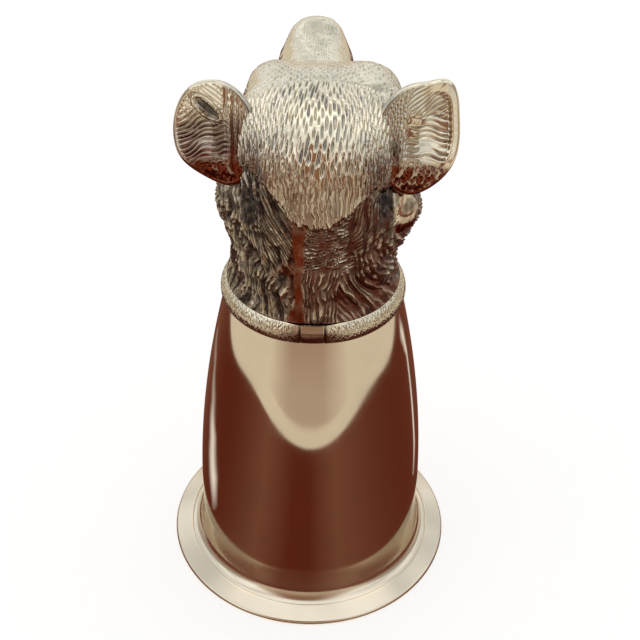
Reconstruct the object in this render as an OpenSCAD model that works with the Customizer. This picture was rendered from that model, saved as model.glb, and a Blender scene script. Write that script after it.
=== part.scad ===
// Stirrup cup: a tapered silver cup standing mouth down, with a cast animal head on its narrow end.
// Millimetres. The origin is the centre of the rim's rest plane, +Z is up and the muzzle points to +Y.

/* [Cup] */
// Diameter over the rim
rim_d = 76; // [72:0.5:84]
// Height of the wall, from the rest plane to its narrow edge
cup_h = 84; // [70:0.5:110]
// Outer diameter just above the flare
wall_foot_d = 59.6; // [56:0.2:62]
// Outer diameter that the wall's curve leans towards at half its height
wall_belly_d = 60.8; // [56:0.2:64]
// Outer diameter of the wall's narrow edge
wall_top_d = 43; // [40:0.2:48]
// Thickness of the spun sheet
wall_t = 1; // [0.8:0.1:1.4]
// Radius of the sweep in which the wall's foot starts to open
sweep_r = 20; // [14:1:26]
// Angle through which the sweep turns the wall, in degrees
sweep_turn = 17; // [12:1:20]
// Radius of the cove between the sweep and the flare
cove_r = 3; // [2.4:0.1:4]
// Slope of the rim below the horizontal, in degrees
rim_slope = 20; // [16:1:28]

/* [Lip ring] */
// Thickness of the ring over the sheet that it covers
lip_step = 0.4; // [0.3:0.05:0.8]
// Width of the ring's tongue, which laps over the flared sheet
lip_lap = 1.7; // [1.2:0.1:2.4]
// Bare width of flared sheet between the cove and the ring
lip_margin = 0.6; // [0.3:0.1:1.2]
// Depth of the flat that the rounded edge stands on
land_depth = 0.15; // [0.1:0.01:0.25]

/* [Bottom disc] */
// Thickness of the flange between the wall and the head
flange_t = 0.8; // [0.6:0.1:1.4]
// Depth of the plug that centres the disc in the wall
plug_h = 1.6; // [1:0.1:3]

/* [Head] */
// Step in from the wall's narrow edge to the neck
neck_step = 0.6; // [0.3:0.1:1.2]
// Thickness of the casting
casting_t = 2.4; // [1.8:0.1:3]
// Height of the crown above the neck's seat
crown_h = 52; // [46:0.5:58]
// Width of the skull between the ears
skull_w = 33.6; // [31:0.2:36]
// Width over the cheeks
cheek_w = 48; // [44:0.5:52]
// Reach of the muzzle's end from the cup's axis
muzzle_reach = 45.5; // [42:0.5:50]
// Width of the muzzle at half its length
muzzle_w = 16; // [14:0.2:18]

/* [Carving] */
// Drop from the mane's lower edge to the neck
mane_step = 0.5; // [0.2:0.1:0.8]
// Depth of the hollows between the mane and the cheeks
hollow_depth = 1.1; // [0.6:0.1:1.4]
// Depth of the eye sockets
socket_depth = 1; // [0.6:0.1:1.2]
// Depth of the line of the mouth
mouth_depth = 0.6; // [0.3:0.1:0.8]
// Depth of the channel down the nape
channel_depth = 0.5; // [0.2:0.1:0.8]
// Depth between the broad locks of hair on the neck
lock_depth = 0.6; // [0.3:0.1:0.8]
// Distance between the broad locks of hair on the neck
lock_pitch = 7; // [6:0.5:9]

/* [Ears] */
// Height of an ear along its long axis
ear_h = 26; // [22:0.5:28]
// Reach of an ear from its long axis to its outer edge
ear_reach = 9.8; // [8.6:0.2:10.6]
// Reach of an ear from its long axis to its root in the head
ear_root = 12; // [11:0.2:13]
// Depth of the hollow
ear_bowl = 3; // [2:0.1:4]
// Distance by which the lobe's lower edge is set back
lobe_set_back = 4; // [2:0.1:5]
// Distance by which the root's edge is set back into the head
root_set_back = 1.6; // [1:0.1:2.5]
// Thickness of the ear's shell
ear_t = 2.2; // [1.8:0.1:3]
// Length of the tenon that plugs into the head
tenon_l = 6; // [4:0.5:8]
// Radius of the tenon's rounded ends
tenon_r = 1.9; // [1.6:0.1:2.2]
// Distance between the centres of the tenon's rounded ends
tenon_span = 4; // [3:0.5:5]

/* [Neck ring] */
// Height of the ring that locates the neck
ring_h = 2.5; // [1.5:0.1:3]
// Thickness of the ring
ring_t = 1.2; // [0.8:0.1:2]

/* [Collar] */
// Radius of the collar's rounded face
collar_r = 3.8; // [3.4:0.05:4.2]
// Height that the collar stands proud of the wall
collar_proud = 0.9; // [0.7:0.05:1.4]
// Drop of the collar's lower edge below the neck's seat
collar_drop = 1.9; // [1.5:0.1:2.1]
// Rise of the collar's widest line above its lower edge
collar_swell = 1.4; // [1:0.1:1.8]
// Width of the tab that bridges the collar's two ends
tab_w = 5.6; // [4:0.2:8]
// Thickness of the tab
tab_t = 0.7; // [0.5:0.1:1]
// Height of the tab's top edge above the neck's seat
tab_rise = 3; // [2.4:0.1:3.4]

/* [Fits] */
// Clearance between pieces that are soldered together
solder_gap = 0.1; // [0.05:0.01:0.15]

/* [Hidden] */
$fn = 96;

// Radii and heights of the cup
rim_r = rim_d / 2;
foot_r = wall_foot_d / 2;
belly_r = wall_belly_d / 2;
top_r = wall_top_d / 2;
neck_r = top_r - neck_step;
seat_z = cup_h + flange_t;

// The flared sheet lies along rim_slope from the cove's end; lengths run along it and across it
cove_turn = 90 - rim_slope;
sweep_end_r = foot_r + sweep_r * (1 - cos(sweep_turn));
cove_end_r = sweep_end_r + cove_r * (cos(sweep_turn) - cos(cove_turn));
edge_r = (lip_step + wall_t) / 2;
edge_across = lip_step - edge_r;
edge_along = (rim_r - edge_r - cove_end_r - edge_across * sin(rim_slope)) / cos(rim_slope);
edge_z = edge_r - land_depth;
cove_end_z = edge_z + edge_along * sin(rim_slope) - edge_across * cos(rim_slope);
sweep_end_z = cove_end_z + cove_r * (sin(cove_turn) - sin(sweep_turn));
sweep_z = sweep_end_z + sweep_r * sin(sweep_turn);
flare_along = lip_margin + lip_lap;
land_along = (cove_end_z - wall_t * cos(rim_slope)) / sin(rim_slope);

// Steps of the wall's curve, the cove and the rounded edge
wall_steps = 24;
sweep_steps = 5;
cove_steps = 7;
edge_steps = 10;

// Place of the collar, which clears the wall and the neck
collar_bottom = seat_z - collar_drop;
wall_bore = wall_r(collar_bottom) + solder_gap;
neck_bore = neck_r + solder_gap;
collar_centre_r = max(wall_bore, neck_bore) + collar_proud - collar_r;
collar_top = collar_bottom + collar_swell + sqrt(pow(collar_r, 2) - pow(neck_bore - collar_centre_r, 2));
collar_gap = tab_w + 2 * solder_gap;

// A point on the flare's section, from its length along the slope and across it
function flare_point(along, across) = [
    cove_end_r + along * cos(rim_slope) + across * sin(rim_slope),
    cove_end_z - along * sin(rim_slope) + across * cos(rim_slope)
];

// Outer radius of the wall at a height, a curve from the foot to the top that leans to the belly
function wall_r(z) =
    let (s = (z - sweep_z) / (cup_h - sweep_z))
    foot_r * pow(1 - s, 2) + 2 * belly_r * s * (1 - s) + top_r * pow(s, 2);

// Points of the wall's curve from the top down, set in by a distance
function wall_side(inset) = [
    for (i = [wall_steps : -1 : 0])
        let (z = sweep_z + (cup_h - sweep_z) * i / wall_steps)
        [wall_r(z) - inset, z]
];

// Points of the sweep and the cove from the wall to the flare, set in by a distance
function foot_side(inset) = concat(
    [
        for (i = [1 : sweep_steps])
            let (turn = sweep_turn * i / sweep_steps)
            [
                foot_r + sweep_r - (sweep_r + inset) * cos(turn),
                sweep_z - (sweep_r + inset) * sin(turn)
            ]
    ],
    [
        for (i = [1 : cove_steps])
            let (turn = sweep_turn + (cove_turn - sweep_turn) * i / cove_steps)
            [
                sweep_end_r + cove_r * cos(sweep_turn) - (cove_r + inset) * cos(turn),
                sweep_end_z + cove_r * sin(sweep_turn) - (cove_r + inset) * sin(turn)
            ]
    ]
);

// A list from its last item to its first
function backwards(items) = [for (i = [len(items) - 1 : -1 : 0]) items[i]];

// The head is one smooth field of rounded lumps. Heights are above the neck's seat.
// Its typed lengths are in u, a millimetre of a head whose crown is 52 mm high.
u = crown_h / 52;
field_blend = 2.2 * u;
neck_set_in = 0.6 * u;
skull_r = skull_w / 2;
skull_half_h = 15.3 * u;
skull_rise = crown_h - skull_half_h;
cheek_r = 8.6 * u;
cheek_rise = 21 * u;
throat_rise = 25 * u;
brow_rise = crown_h - 5.6 * u;
muzzle_rise = crown_h - 12.8 * u;
muzzle_r = muzzle_w / 2;

// A lump from its centre, its radii and its forward tilt; a paired lump is mirrored to the other side
function lump(centre, radii, tilt = 0, paired = false) = [centre, radii, tilt, paired];

neck = lump([0, -0.3 * u, 7.2 * u], [neck_r - neck_set_in, neck_r - neck_set_in, 26 * u]);
nape = lump([0, -7 * u, skull_rise - 9.5 * u], [skull_r - 0.3 * u, 13.5 * u, 17 * u]);
skull = lump([0, -u, skull_rise], [skull_r, 18 * u, skull_half_h]);
forehead = lump([0, 8 * u, skull_rise + 6 * u], [skull_r - 2.3 * u, 12 * u, 9.6 * u]);
cheek = lump([cheek_w / 2 - cheek_r, 6 * u, cheek_rise], [cheek_r, 10.5 * u, 9.6 * u], paired = true);
throat = lump([0, 14.5 * u, throat_rise], [9.5 * u, 9 * u, 7.5 * u]);
temple = lump([skull_r - 4 * u, 6 * u, skull_rise + 3.5 * u], [5.4 * u, 10 * u, 8.5 * u], paired = true);
brow = lump([skull_r - 6.5 * u, 15.2 * u, brow_rise], [5.2 * u, 4.6 * u, 4 * u], paired = true);
bridge = lump([0, 24 * u, muzzle_rise + 0.5 * u], [muzzle_r + 1.4 * u, 13 * u, 7.4 * u]);
muzzle = lump([0, muzzle_reach - 12.5 * u, muzzle_rise], [muzzle_r, 11 * u, 7.6 * u]);
snout = lump([0, muzzle_reach - 6.5 * u, muzzle_rise + u], [muzzle_r - 1.1 * u, 6.5 * u, 6.6 * u]);
upper_lip = lump(
    [muzzle_r / 2, muzzle_reach - 6 * u, muzzle_rise - 2.2 * u],
    [3.8 * u, 5.2 * u, 4.2 * u],
    paired = true
);
jaw = lump(
    [0, muzzle_reach - 15.5 * u, muzzle_rise - 7.4 * u],
    [muzzle_r - 0.8 * u, 12 * u, 4.4 * u],
    tilt = 12
);
nose = lump(
    [0, muzzle_reach - 3.3 * u, muzzle_rise + 7.3 * u],
    [muzzle_r - 2.6 * u, 3.6 * u, 3 * u],
    tilt = 18
);
LUMPS = [
    neck, nape, skull, forehead, cheek, throat, temple, brow, bridge, muzzle, snout, upper_lip, jaw, nose
];
MIRRORED_LUMPS = [
    for (item = LUMPS)
        if (item[3])
            lump([-item[0].x, item[0].y, item[0].z], item[1], item[2])
];
ALL_LUMPS = concat(LUMPS, MIRRORED_LUMPS);
ONES = [for (item = ALL_LUMPS) 1];

// Signed distance, near enough, from a point to a lump's surface
function lump_distance(p, item) =
    let (
        d = p - item[0],
        r = item[1],
        tilt = item[2],
        forward = d.y * cos(tilt) + d.z * sin(tilt),
        rise = d.z * cos(tilt) - d.y * sin(tilt),
        unit = [d.x / r.x, forward / r.y, rise / r.z],
        steep = norm([unit.x / r.x, unit.y / r.y, unit.z / r.z])
    )
    norm(unit) * (norm(unit) - 1) / max(steep, tiny);
tiny = 0.000001;

// The lumps' distances blended into one field, negative inside the head
function head_field(p) =
    let (weights = [for (item = ALL_LUMPS) exp(-lump_distance(p, item) / field_blend)])
    -field_blend * ln(weights * ONES);

// Distance along a ray to the head's surface, found by halving
halvings = 14;
ray_limit = 45 * u;
function ray_length(from, aim, near, far, left) =
    let (middle = (near + far) / 2)
    left == 0 ? middle
    : head_field(from + middle * aim) < 0 ? ray_length(from, aim, middle, far, left - 1)
    : ray_length(from, aim, near, middle, left - 1);

// 0 below low, 1 above high and a smooth curve between
function ramp(low, high, value) =
    let (t = min(max((value - low) / (high - low), 0), 1))
    t * t * (3 - 2 * t);

// A round bell of height 1 at a centre
function bell(p, centre, radius) = exp(-pow(norm(p - centre) / radius, 2));

// Height of the mane's lower edge, a flat tip at the nape that climbs to either side and sinks to the ears
mane_tip = 29.3 * u;
mane_climb = 5.6 * u;
mane_sink = 2.5 * u;
function mane_edge(x) =
    mane_tip + mane_climb * ramp(3 * u, 12 * u, x) - mane_sink * ramp(12 * u, 17 * u, x);

// Waves between the broad locks on the neck, 0 to 1: circles about a point below the right ear, and on the
// left lines that hang in waves
swing_centre = [27 * u, 25 * u];
sway = 0.6 * u;
sway_length = 11 * u;
function lock_wave(across, along, right) =
    let (
        circle_r = norm([across, along] - swing_centre),
        line = across + sway * sin(360 * along / sway_length)
    )
    0.5 + 0.5 * cos(360 * (right ? circle_r : line) / lock_pitch);

// Depth of the carving at a point of one half of the head, from its lengths round the spine and along it.
// The locks and the mane's step end where the bare face starts, and the locks fade where the halves meet.
socket_centre = [8.2 * u, 21 * u, crown_h - 10.4 * u];
socket_r = 3.2 * u;
hollow_centre = [17 * u, -11 * u, crown_h - 21.8 * u];
hollow_r = 4.4 * u;
mouth_rise = muzzle_rise - 5.8 * u;
mouth_slope = 0.12;
mouth_end_y = muzzle_reach - 20 * u;
channel_x = 3 * u;
channel_r = 1.6 * u;
edge_soft = 0.7 * u;
step_fade = 12 * u;
function head_cut(p, across, along, right) =
    let (
        over = p.z - mane_edge(p.x),
        below = 1 - ramp(-edge_soft, edge_soft, over),
        brow_line = ramp(1.5 * u, 4 * u, p.y) * ramp(36 * u, 41 * u, p.z),
        fur = (1 - brow_line) * (1 - ramp(13 * u, 18 * u, p.y)),
        locks = lock_wave(across, along, right) * ramp(2 * u, 7 * u, p.x),
        from_channel = right ? p.x + channel_x : p.x - channel_x,
        channel = exp(-pow(from_channel / channel_r, 2)) * ramp(5 * u, 10 * u, -p.y),
        over_mouth = p.z - mouth_rise - mouth_slope * (muzzle_reach - p.y),
        mouth = exp(-pow(over_mouth / u, 2)) * ramp(mouth_end_y, mouth_end_y + 5 * u, p.y)
    )
    fur * below * (mane_step * ramp(-step_fade, 0, over) + lock_depth * locks + channel_depth * channel)
    + fur * hollow_depth * bell(p, hollow_centre, hollow_r)
    + socket_depth * bell(p, socket_centre, socket_r)
    + mouth_depth * mouth;

// Rows of rays climb the neck, bend forward over a pivot, run out along the muzzle and close at the nose.
// A row is its origin, the direction of its back ray, the angle by which its rays lean forward and its
// length along the spine.
neck_margin = 0.2;
collar_cover = max(collar_top - seat_z, tab_rise) + neck_margin;
neck_blend = 5;
arm = 24.5 * u;
axis_rise = muzzle_rise + 0.5 * u;
pivot = [0, arm, axis_rise - arm];
snout_y = muzzle_reach - 8.5 * u;
bend_r = 42 * u;
neck_rows = 7;
bend_rows = 24;
muzzle_rows = 5;
cap_rows = 7;
last_lean = 82;
bend_end = pivot.z + bend_r * PI / 2;
ROWS = concat(
    [[[0, 0, 0], [0, -1, 0], 0, 0]],
    [
        for (i = [0 : neck_rows - 1])
            let (rise = collar_cover + (pivot.z - collar_cover) * i / neck_rows)
            [[0, 0, rise], [0, -1, 0], 0, rise]
    ],
    [
        for (i = [0 : bend_rows])
            let (
                turn = 90 * i / bend_rows,
                back = [0, -cos(turn), sin(turn)]
            )
            [pivot + arm * back, back, 0, pivot.z + bend_r * turn * PI / 180]
    ],
    [
        for (i = [1 : muzzle_rows])
            let (out = (snout_y - pivot.y) * i / muzzle_rows)
            [[0, pivot.y + out, axis_rise], [0, 0, 1], 0, bend_end + out]
    ],
    [
        for (i = [1 : cap_rows])
            [[0, snout_y, axis_rise], [0, 0, 1], last_lean * i / cap_rows, bend_end + snout_y - pivot.y]
    ]
);

// Direction of a ray of a row, from its back ray round to its front ray
function ray_aim(row, turn) =
    cos(row[2]) * (cos(turn) * row[1] + sin(turn) * [1, 0, 0]) + sin(row[2]) * [0, 1, 0];

// Radius of the carved head along a ray, a true circle where the neck stands in the collar
across_r = 18 * u;
function head_radius(row, turn, right) =
    let (
        aim = ray_aim(row, turn),
        share = min(max((row[0].z - collar_cover) / neck_blend, 0), 1),
        found = share == 0 ? neck_r : ray_length(row[0], aim, 0, ray_limit, halvings),
        cut = share == 0 ? 0 : head_cut(row[0] + found * aim, across_r * turn * PI / 180, row[3], right)
    )
    neck_r + (found - cut - neck_r) * share;

// Points of a row at distances outside the head, from the back ray to the front ray
half_sides = 24;
function row_points(row, offsets, right) =
    let (
        turns = [for (j = [0 : half_sides]) 180 * j / half_sides],
        reach = [for (turn = turns) head_radius(row, turn, right)]
    )
    [
        for (offset = offsets)
            [for (j = [0 : half_sides]) row[0] + (reach[j] + offset) * ray_aim(row, turns[j])]
    ];

// The nose's end at a distance outside the head
tip_aim = [0, 1, 0];
tip_from = ROWS[len(ROWS) - 1][0];
tip_reach = ray_length(tip_from, tip_aim, 0, ray_limit, halvings);
function tip_point(offset) = tip_from + (tip_reach + offset) * tip_aim;

// Triangles between closed loops of points that follow each other
function loft_sides(loops, loop) = [
    for (i = [0 : loops - 2], k = [0 : loop - 1])
        let (
            a = i * loop + k,
            b = i * loop + (k + 1) % loop
        )
        each [[a, a + loop, b + loop], [a, b + loop, b]]
];

// One half of the head as a solid, grown by a distance, that pieces on the head are cut to
module head_core(grow, right) {
    loop = half_sides + 1;
    last = (len(ROWS) - 1) * loop;
    tip = len(ROWS) * loop;
    points = concat(
        [for (row = ROWS) each row_points(row, [grow], right)[0]],
        [tip_point(grow)]
    );
    base = [for (j = [1 : half_sides - 1]) [0, j, j + 1]];
    nose = [for (k = [0 : half_sides]) [last + (k + 1) % loop, last + k, tip]];
    translate([0, 0, seat_z])
        polyhedron(points, concat(loft_sides(len(ROWS), loop), base, nose), convexity = 8);
}

// One cast half of the head, hollow, with its flat base on the neck's seat and its flat side at x = 0
module head_shell(right) {
    loop = 2 * (half_sides + 1);
    last = (len(ROWS) - 1) * loop;
    front = last + half_sides;
    tip = len(ROWS) * loop;
    skins = [for (row = ROWS) row_points(row, [0, -casting_t], right)];
    points = concat(
        [for (skin = skins) each concat(skin[0], backwards(skin[1]))],
        [tip_point(0), tip_point(-casting_t)]
    );
    base = [
        for (j = [0 : half_sides - 1])
            each [[j, j + 1, loop - 2 - j], [j, loop - 2 - j, loop - 1 - j]]
    ];
    nose_outside = [for (k = [0 : half_sides - 1]) [last + k + 1, last + k, tip]];
    nose_inside = [for (k = [half_sides + 1 : loop - 2]) [last + k + 1, last + k, tip + 1]];
    nose_flats = [
        [front + 1, front, tip],
        [front + 1, tip, tip + 1],
        [last, last + loop - 1, tip + 1],
        [last, tip + 1, tip]
    ];
    faces = concat(loft_sides(len(ROWS), loop), base, nose_outside, nose_inside, nose_flats);
    translate([0, 0, seat_z])
        polyhedron(points, faces, convexity = 8);
}

// An ear is an oval bowl whose hollow faces back, up and outwards; its long axis leans out and forward
ear_aim = [0.42, -0.8, 0.4];
ear_lean = [0.14, 0.38, 0.92];
ear_facing = ear_aim / norm(ear_aim);
ear_side = cross(ear_lean, ear_facing);
ear_across = ear_side / norm(ear_side);
ear_long = cross(ear_facing, ear_across);
ear_rise = crown_h - 11 * u;
ear_y = -1.5 * u;
ear_overhang = 7.9 * u;
ear_centre = [skull_r + ear_overhang, ear_y, seat_z + ear_rise];
ear_sides = 28;
ear_rings = 5;

// Depth of the hollow behind the edge's plane. The hollow runs out towards the lobe and the root, which
// are set back.
lobe_start = 0.2;
root_start = 0.4;
function set_back(share, start) = pow(max(share - start, 0) / (1 - start), 2);
function ear_depth(share, turn) =
    ear_bowl * (1 - pow(share, 2)) * (1 - share * max(-sin(turn), 0)) * (1 - share * max(-cos(turn), 0))
    + lobe_set_back * set_back(-share * sin(turn), lobe_start)
    + root_set_back * set_back(-share * cos(turn), root_start);

// A point of the bowl: its share of the way to the edge, its angle round it, its depth behind the hollow
// and its distance outside the hollow's edge
function ear_point(share, turn, behind, outside) =
    ear_centre
    + cos(turn) * (share * ((cos(turn) < 0 ? ear_root : ear_reach) - ear_t / 2) + outside) * ear_across
    + sin(turn) * (share * (ear_h - ear_t) / 2 + outside) * ear_long
    - (ear_depth(share, turn) + behind) * ear_facing;

// The bowl as rings from the hollow's middle, over the edge and down the back to its middle
module ear_bowl_shape() {
    rings = concat(
        [for (i = [1 : ear_rings]) [i / ear_rings, 0, 0]],
        [[1, ear_t / 2, ear_t / 2]],
        [for (i = [ear_rings : -1 : 1]) [i / ear_rings, ear_t, 0]]
    );
    points = concat(
        [ear_point(0, 0, 0, 0)],
        [
            for (ring = rings, j = [0 : ear_sides - 1])
                ear_point(ring[0], 360 * j / ear_sides, ring[1], ring[2])
        ],
        [ear_point(0, 0, ear_t, 0)]
    );
    last = len(points) - 1;
    hollow = [for (j = [0 : ear_sides - 1]) [0, 1 + (j + 1) % ear_sides, 1 + j]];
    walls = [
        for (i = [0 : len(rings) - 2], j = [0 : ear_sides - 1])
            let (
                a = 1 + i * ear_sides + j,
                b = 1 + i * ear_sides + (j + 1) % ear_sides
            )
            each [[a, b, b + ear_sides], [a, b + ear_sides, a + ear_sides]]
    ];
    start = last - ear_sides;
    back = [for (j = [0 : ear_sides - 1]) [start + j, start + (j + 1) % ear_sides, last]];
    polyhedron(points, concat(hollow, walls, back), convexity = 4);
}

// The tenon's outline runs along the ear's root, made larger all round for its socket
root_x = skull_r + 0.6 * u;
tenon_y = ear_y + 2.4 * u;
tenon_rise = ear_rise + u;
tenon_lean = 22;
module tenon(length, grow) {
    translate([root_x - tenon_l, tenon_y, seat_z + tenon_rise])
        rotate([-tenon_lean, 0, 0])
            rotate([0, 90, 0])
                linear_extrude(length)
                    union() {
                        square([tenon_span, 2 * (tenon_r + grow)], center = true);
                        for (end = [-0.5, 0.5])
                            translate([end * tenon_span, 0])
                                circle(tenon_r + grow);
                    }
}

// One ear: the bowl cut to the head's side, with its tenon
module ear(right) {
    difference() {
        ear_bowl_shape();
        head_core(solder_gap, right);
    }
    tenon(tenon_l + ear_t / 2, 0);
}

// One half of the head with its ear's socket
module head_half(right) {
    difference() {
        head_shell(right);
        tenon(2 * tenon_l, solder_gap);
    }
}

module cup_wall() {
    color("#b79d86")
        rotate_extrude()
            polygon(concat(
                wall_side(0),
                foot_side(0),
                [flare_point(flare_along, 0), flare_point(flare_along, -wall_t)],
                backwards(foot_side(wall_t)),
                backwards(wall_side(wall_t))
            ));
}

// The ring laps over the flare's edge, butts against it and ends in a round edge cut flat to stand on
module lip_ring() {
    edge_start = 90 - rim_slope;
    edge_end = -asin(edge_z / edge_r);
    edge = [
        for (i = [0 : edge_steps])
            let (turn = edge_start + (edge_end - edge_start) * i / edge_steps)
            [rim_r - edge_r + edge_r * cos(turn), edge_z + edge_r * sin(turn)]
    ];
    color("#c9ab93")
        rotate_extrude()
            polygon(concat(
                [flare_point(lip_margin, 0), flare_point(lip_margin, lip_step)],
                edge,
                [
                    flare_point(land_along, -wall_t),
                    flare_point(flare_along + solder_gap, -wall_t),
                    flare_point(flare_along + solder_gap, 0)
                ]
            ));
}

// The disc plugs into the wall's narrow end and its flange lies on the wall's edge
module cup_bottom() {
    color("#a8957f") {
        translate([0, 0, cup_h - plug_h])
            cylinder(h = plug_h, r = top_r - wall_t - solder_gap);
        translate([0, 0, cup_h])
            cylinder(h = flange_t, r = top_r - solder_gap);
    }
}

// The ring stands on the disc and fits the inside of the neck, which has flat sides
module neck_ring() {
    ring_r = (neck_r - casting_t) * cos(90 / half_sides) - solder_gap;
    color("#9c8b78")
        translate([0, 0, seat_z])
            difference() {
                cylinder(h = ring_h, r = ring_r);
                translate([0, 0, -ring_h])
                    cylinder(h = 3 * ring_h, r = ring_r - ring_t);
            }
}

module head_left() {
    color("#8d8377")
        mirror([1, 0, 0])
            head_half(false);
}

module head_right() {
    color("#968b7e")
        head_half(true);
}

module ear_left() {
    color("#b3a595")
        mirror([1, 0, 0])
            ear(false);
}

module ear_right() {
    color("#b3a595")
        ear(true);
}

// The collar is a half-round band round the joint, open at the back
module collar_band() {
    gap_turn = 2 * asin(collar_gap / 2 / neck_r);
    color("#7f7468")
        rotate([0, 0, gap_turn / 2 - 90])
            rotate_extrude(angle = 360 - gap_turn)
                difference() {
                    translate([collar_centre_r, collar_bottom + collar_swell])
                        circle(collar_r);
                    translate([0, collar_bottom - collar_r])
                        square([rim_r, collar_r]);
                    square([wall_bore, seat_z]);
                    translate([0, seat_z])
                        square([neck_bore, collar_r]);
                }
}

// The tab is a short flat strip in the collar's gap, over the same joint
module collar_tab() {
    bore = max(wall_bore, neck_bore);
    tab_turn = 2 * asin(tab_w / 2 / (bore + tab_t));
    color("#d8cbb8")
        rotate([0, 0, -90 - tab_turn / 2])
            rotate_extrude(angle = tab_turn)
                translate([bore, collar_bottom])
                    square([tab_t, collar_drop + tab_rise]);
}

cup_wall();
lip_ring();
cup_bottom();
neck_ring();
head_left();
head_right();
ear_left();
ear_right();
collar_band();
collar_tab();
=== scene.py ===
"""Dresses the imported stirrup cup: carved head and ears, hatched collar, polished wall and a plain studio."""

import math

import bpy
import numpy as np
from mathutils import Matrix, Vector


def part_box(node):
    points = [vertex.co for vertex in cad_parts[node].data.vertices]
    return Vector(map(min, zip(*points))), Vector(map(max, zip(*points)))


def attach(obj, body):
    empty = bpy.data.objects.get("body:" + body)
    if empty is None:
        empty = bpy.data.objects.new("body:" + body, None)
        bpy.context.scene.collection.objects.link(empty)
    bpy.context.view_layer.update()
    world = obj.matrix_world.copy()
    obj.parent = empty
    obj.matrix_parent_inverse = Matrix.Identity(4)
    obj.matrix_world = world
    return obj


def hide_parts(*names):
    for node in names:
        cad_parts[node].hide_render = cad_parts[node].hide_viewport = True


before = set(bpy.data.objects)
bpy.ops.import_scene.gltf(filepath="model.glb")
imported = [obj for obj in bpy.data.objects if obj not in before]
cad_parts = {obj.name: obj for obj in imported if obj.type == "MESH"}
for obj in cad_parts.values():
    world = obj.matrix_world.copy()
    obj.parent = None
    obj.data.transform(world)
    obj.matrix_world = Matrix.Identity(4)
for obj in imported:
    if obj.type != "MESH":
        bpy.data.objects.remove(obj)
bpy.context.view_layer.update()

bl_info = {
    "name": "Stirrup cup dresser",
    "version": (1, 0, 0),
    "blender": (4, 5, 0),
    "location": "View3D > Sidebar > Stirrup cup",
    "description": "Builds the carved and polished surfaces of a silver stirrup cup over its packed solids",
    "category": "Object",
}

MM = 0.001
BODY = "root"
SIDES = ((-1, "left"), (1, "right"))


def node_box(name):
    """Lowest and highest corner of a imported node, in millimetres."""
    low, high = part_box(name)
    return np.array(low) / MM, np.array(high) / MM


RIM_R = min(node_box("lip_ring")[1][0], -node_box("lip_ring")[0][0])
CUP_H = node_box("cup_wall")[1][2]
SEAT_Z = node_box("head_right")[0][2]
COLLAR_BOTTOM = node_box("collar_band")[0][2]
COLLAR_OUT = node_box("collar_band")[1][0]


# Sizes and finishes that a user would change


class CupSettings(bpy.types.PropertyGroup):
    """Sizes of the turned cup."""

    rim_radius: bpy.props.FloatProperty(
        name="Rim radius", description="Outer radius of the rim that the cup stands on",
        default=RIM_R * MM, unit="LENGTH")
    height: bpy.props.FloatProperty(
        name="Wall height", description="Height of the wall's narrow edge above the rest plane",
        default=CUP_H * MM, unit="LENGTH")
    foot_radius: bpy.props.FloatProperty(
        name="Foot radius", description="Outer radius just above the flare",
        default=29.78 * MM, unit="LENGTH")
    belly_radius: bpy.props.FloatProperty(
        name="Belly radius", description="Radius that the wall's curve leans towards at half its height",
        default=30.4 * MM, unit="LENGTH")
    top_radius: bpy.props.FloatProperty(
        name="Top radius", description="Outer radius of the wall's narrow edge",
        default=21.5 * MM, unit="LENGTH")
    sheet: bpy.props.FloatProperty(
        name="Sheet", description="Thickness of the spun sheet", default=1.0 * MM, unit="LENGTH")


class HeadSettings(bpy.types.PropertyGroup):
    """Depths and pitch of the carving on the head, the ears and the collar."""

    hair_pitch: bpy.props.FloatProperty(
        name="Hair pitch", description="Distance between the ridges on the crown",
        default=0.68 * MM, unit="LENGTH")
    hair_depth: bpy.props.FloatProperty(
        name="Hair depth", description="Depth of the cells between the ridges",
        default=0.45 * MM, unit="LENGTH")
    mane_step: bpy.props.FloatProperty(
        name="Mane step", description="Drop from the mane's lower edge to the neck",
        default=0.5 * MM, unit="LENGTH")
    hollow_depth: bpy.props.FloatProperty(
        name="Hollow depth", description="Depth of the hollows between the mane and the cheeks",
        default=1.1 * MM, unit="LENGTH")
    lock_depth: bpy.props.FloatProperty(
        name="Lock depth", description="Depth between the broad locks of hair on the neck",
        default=0.6 * MM, unit="LENGTH")
    rib_depth: bpy.props.FloatProperty(
        name="Ear rib depth", description="Depth of the grooves between the ribs in the ears",
        default=0.45 * MM, unit="LENGTH")
    hatch_depth: bpy.props.FloatProperty(
        name="Hatch depth", description="Depth of the cuts across the collar",
        default=0.18 * MM, unit="LENGTH")


class FinishSettings(bpy.types.PropertyGroup):
    """Colours of the metal, with those of its painted shade and painted brown reflection."""

    bright: bpy.props.FloatVectorProperty(
        name="Bright silver", description="Colour of the polished metal", subtype="COLOR", size=4,
        default=(0.80, 0.70, 0.56, 1), min=0, max=1)
    cast: bpy.props.FloatVectorProperty(
        name="Cast silver", description="Colour of the raised hair", subtype="COLOR", size=4,
        default=(0.85, 0.765, 0.59, 1), min=0, max=1)
    oxide: bpy.props.FloatVectorProperty(
        name="Oxide", description="Blue-grey of the tarnished metal", subtype="COLOR", size=4,
        default=(0.19, 0.20, 0.215, 1), min=0, max=1)
    # Also the colour of painted shade: under the mane's tip, on the collar's lower half, under the tab's slope
    # and low on the left ear.
    soot_and_shade: bpy.props.FloatVectorProperty(
        name="Soot_and_shade", description="Colour of the blackened hollows", subtype="COLOR", size=4,
        default=(0.03, 0.027, 0.028, 1), min=0, max=1)
    # Painted reflection: the red-brown of the table and the shade card, painted where the neck, the mane's V,
    # the cheek's bulge, the ears, the collar and the tab face them.
    painted_reflection: bpy.props.FloatVectorProperty(
        name="Painted_reflection", description="Red-brown of the metal low on the neck", subtype="COLOR", size=4,
        default=(0.17, 0.036, 0.014, 1), min=0, max=1)


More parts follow.
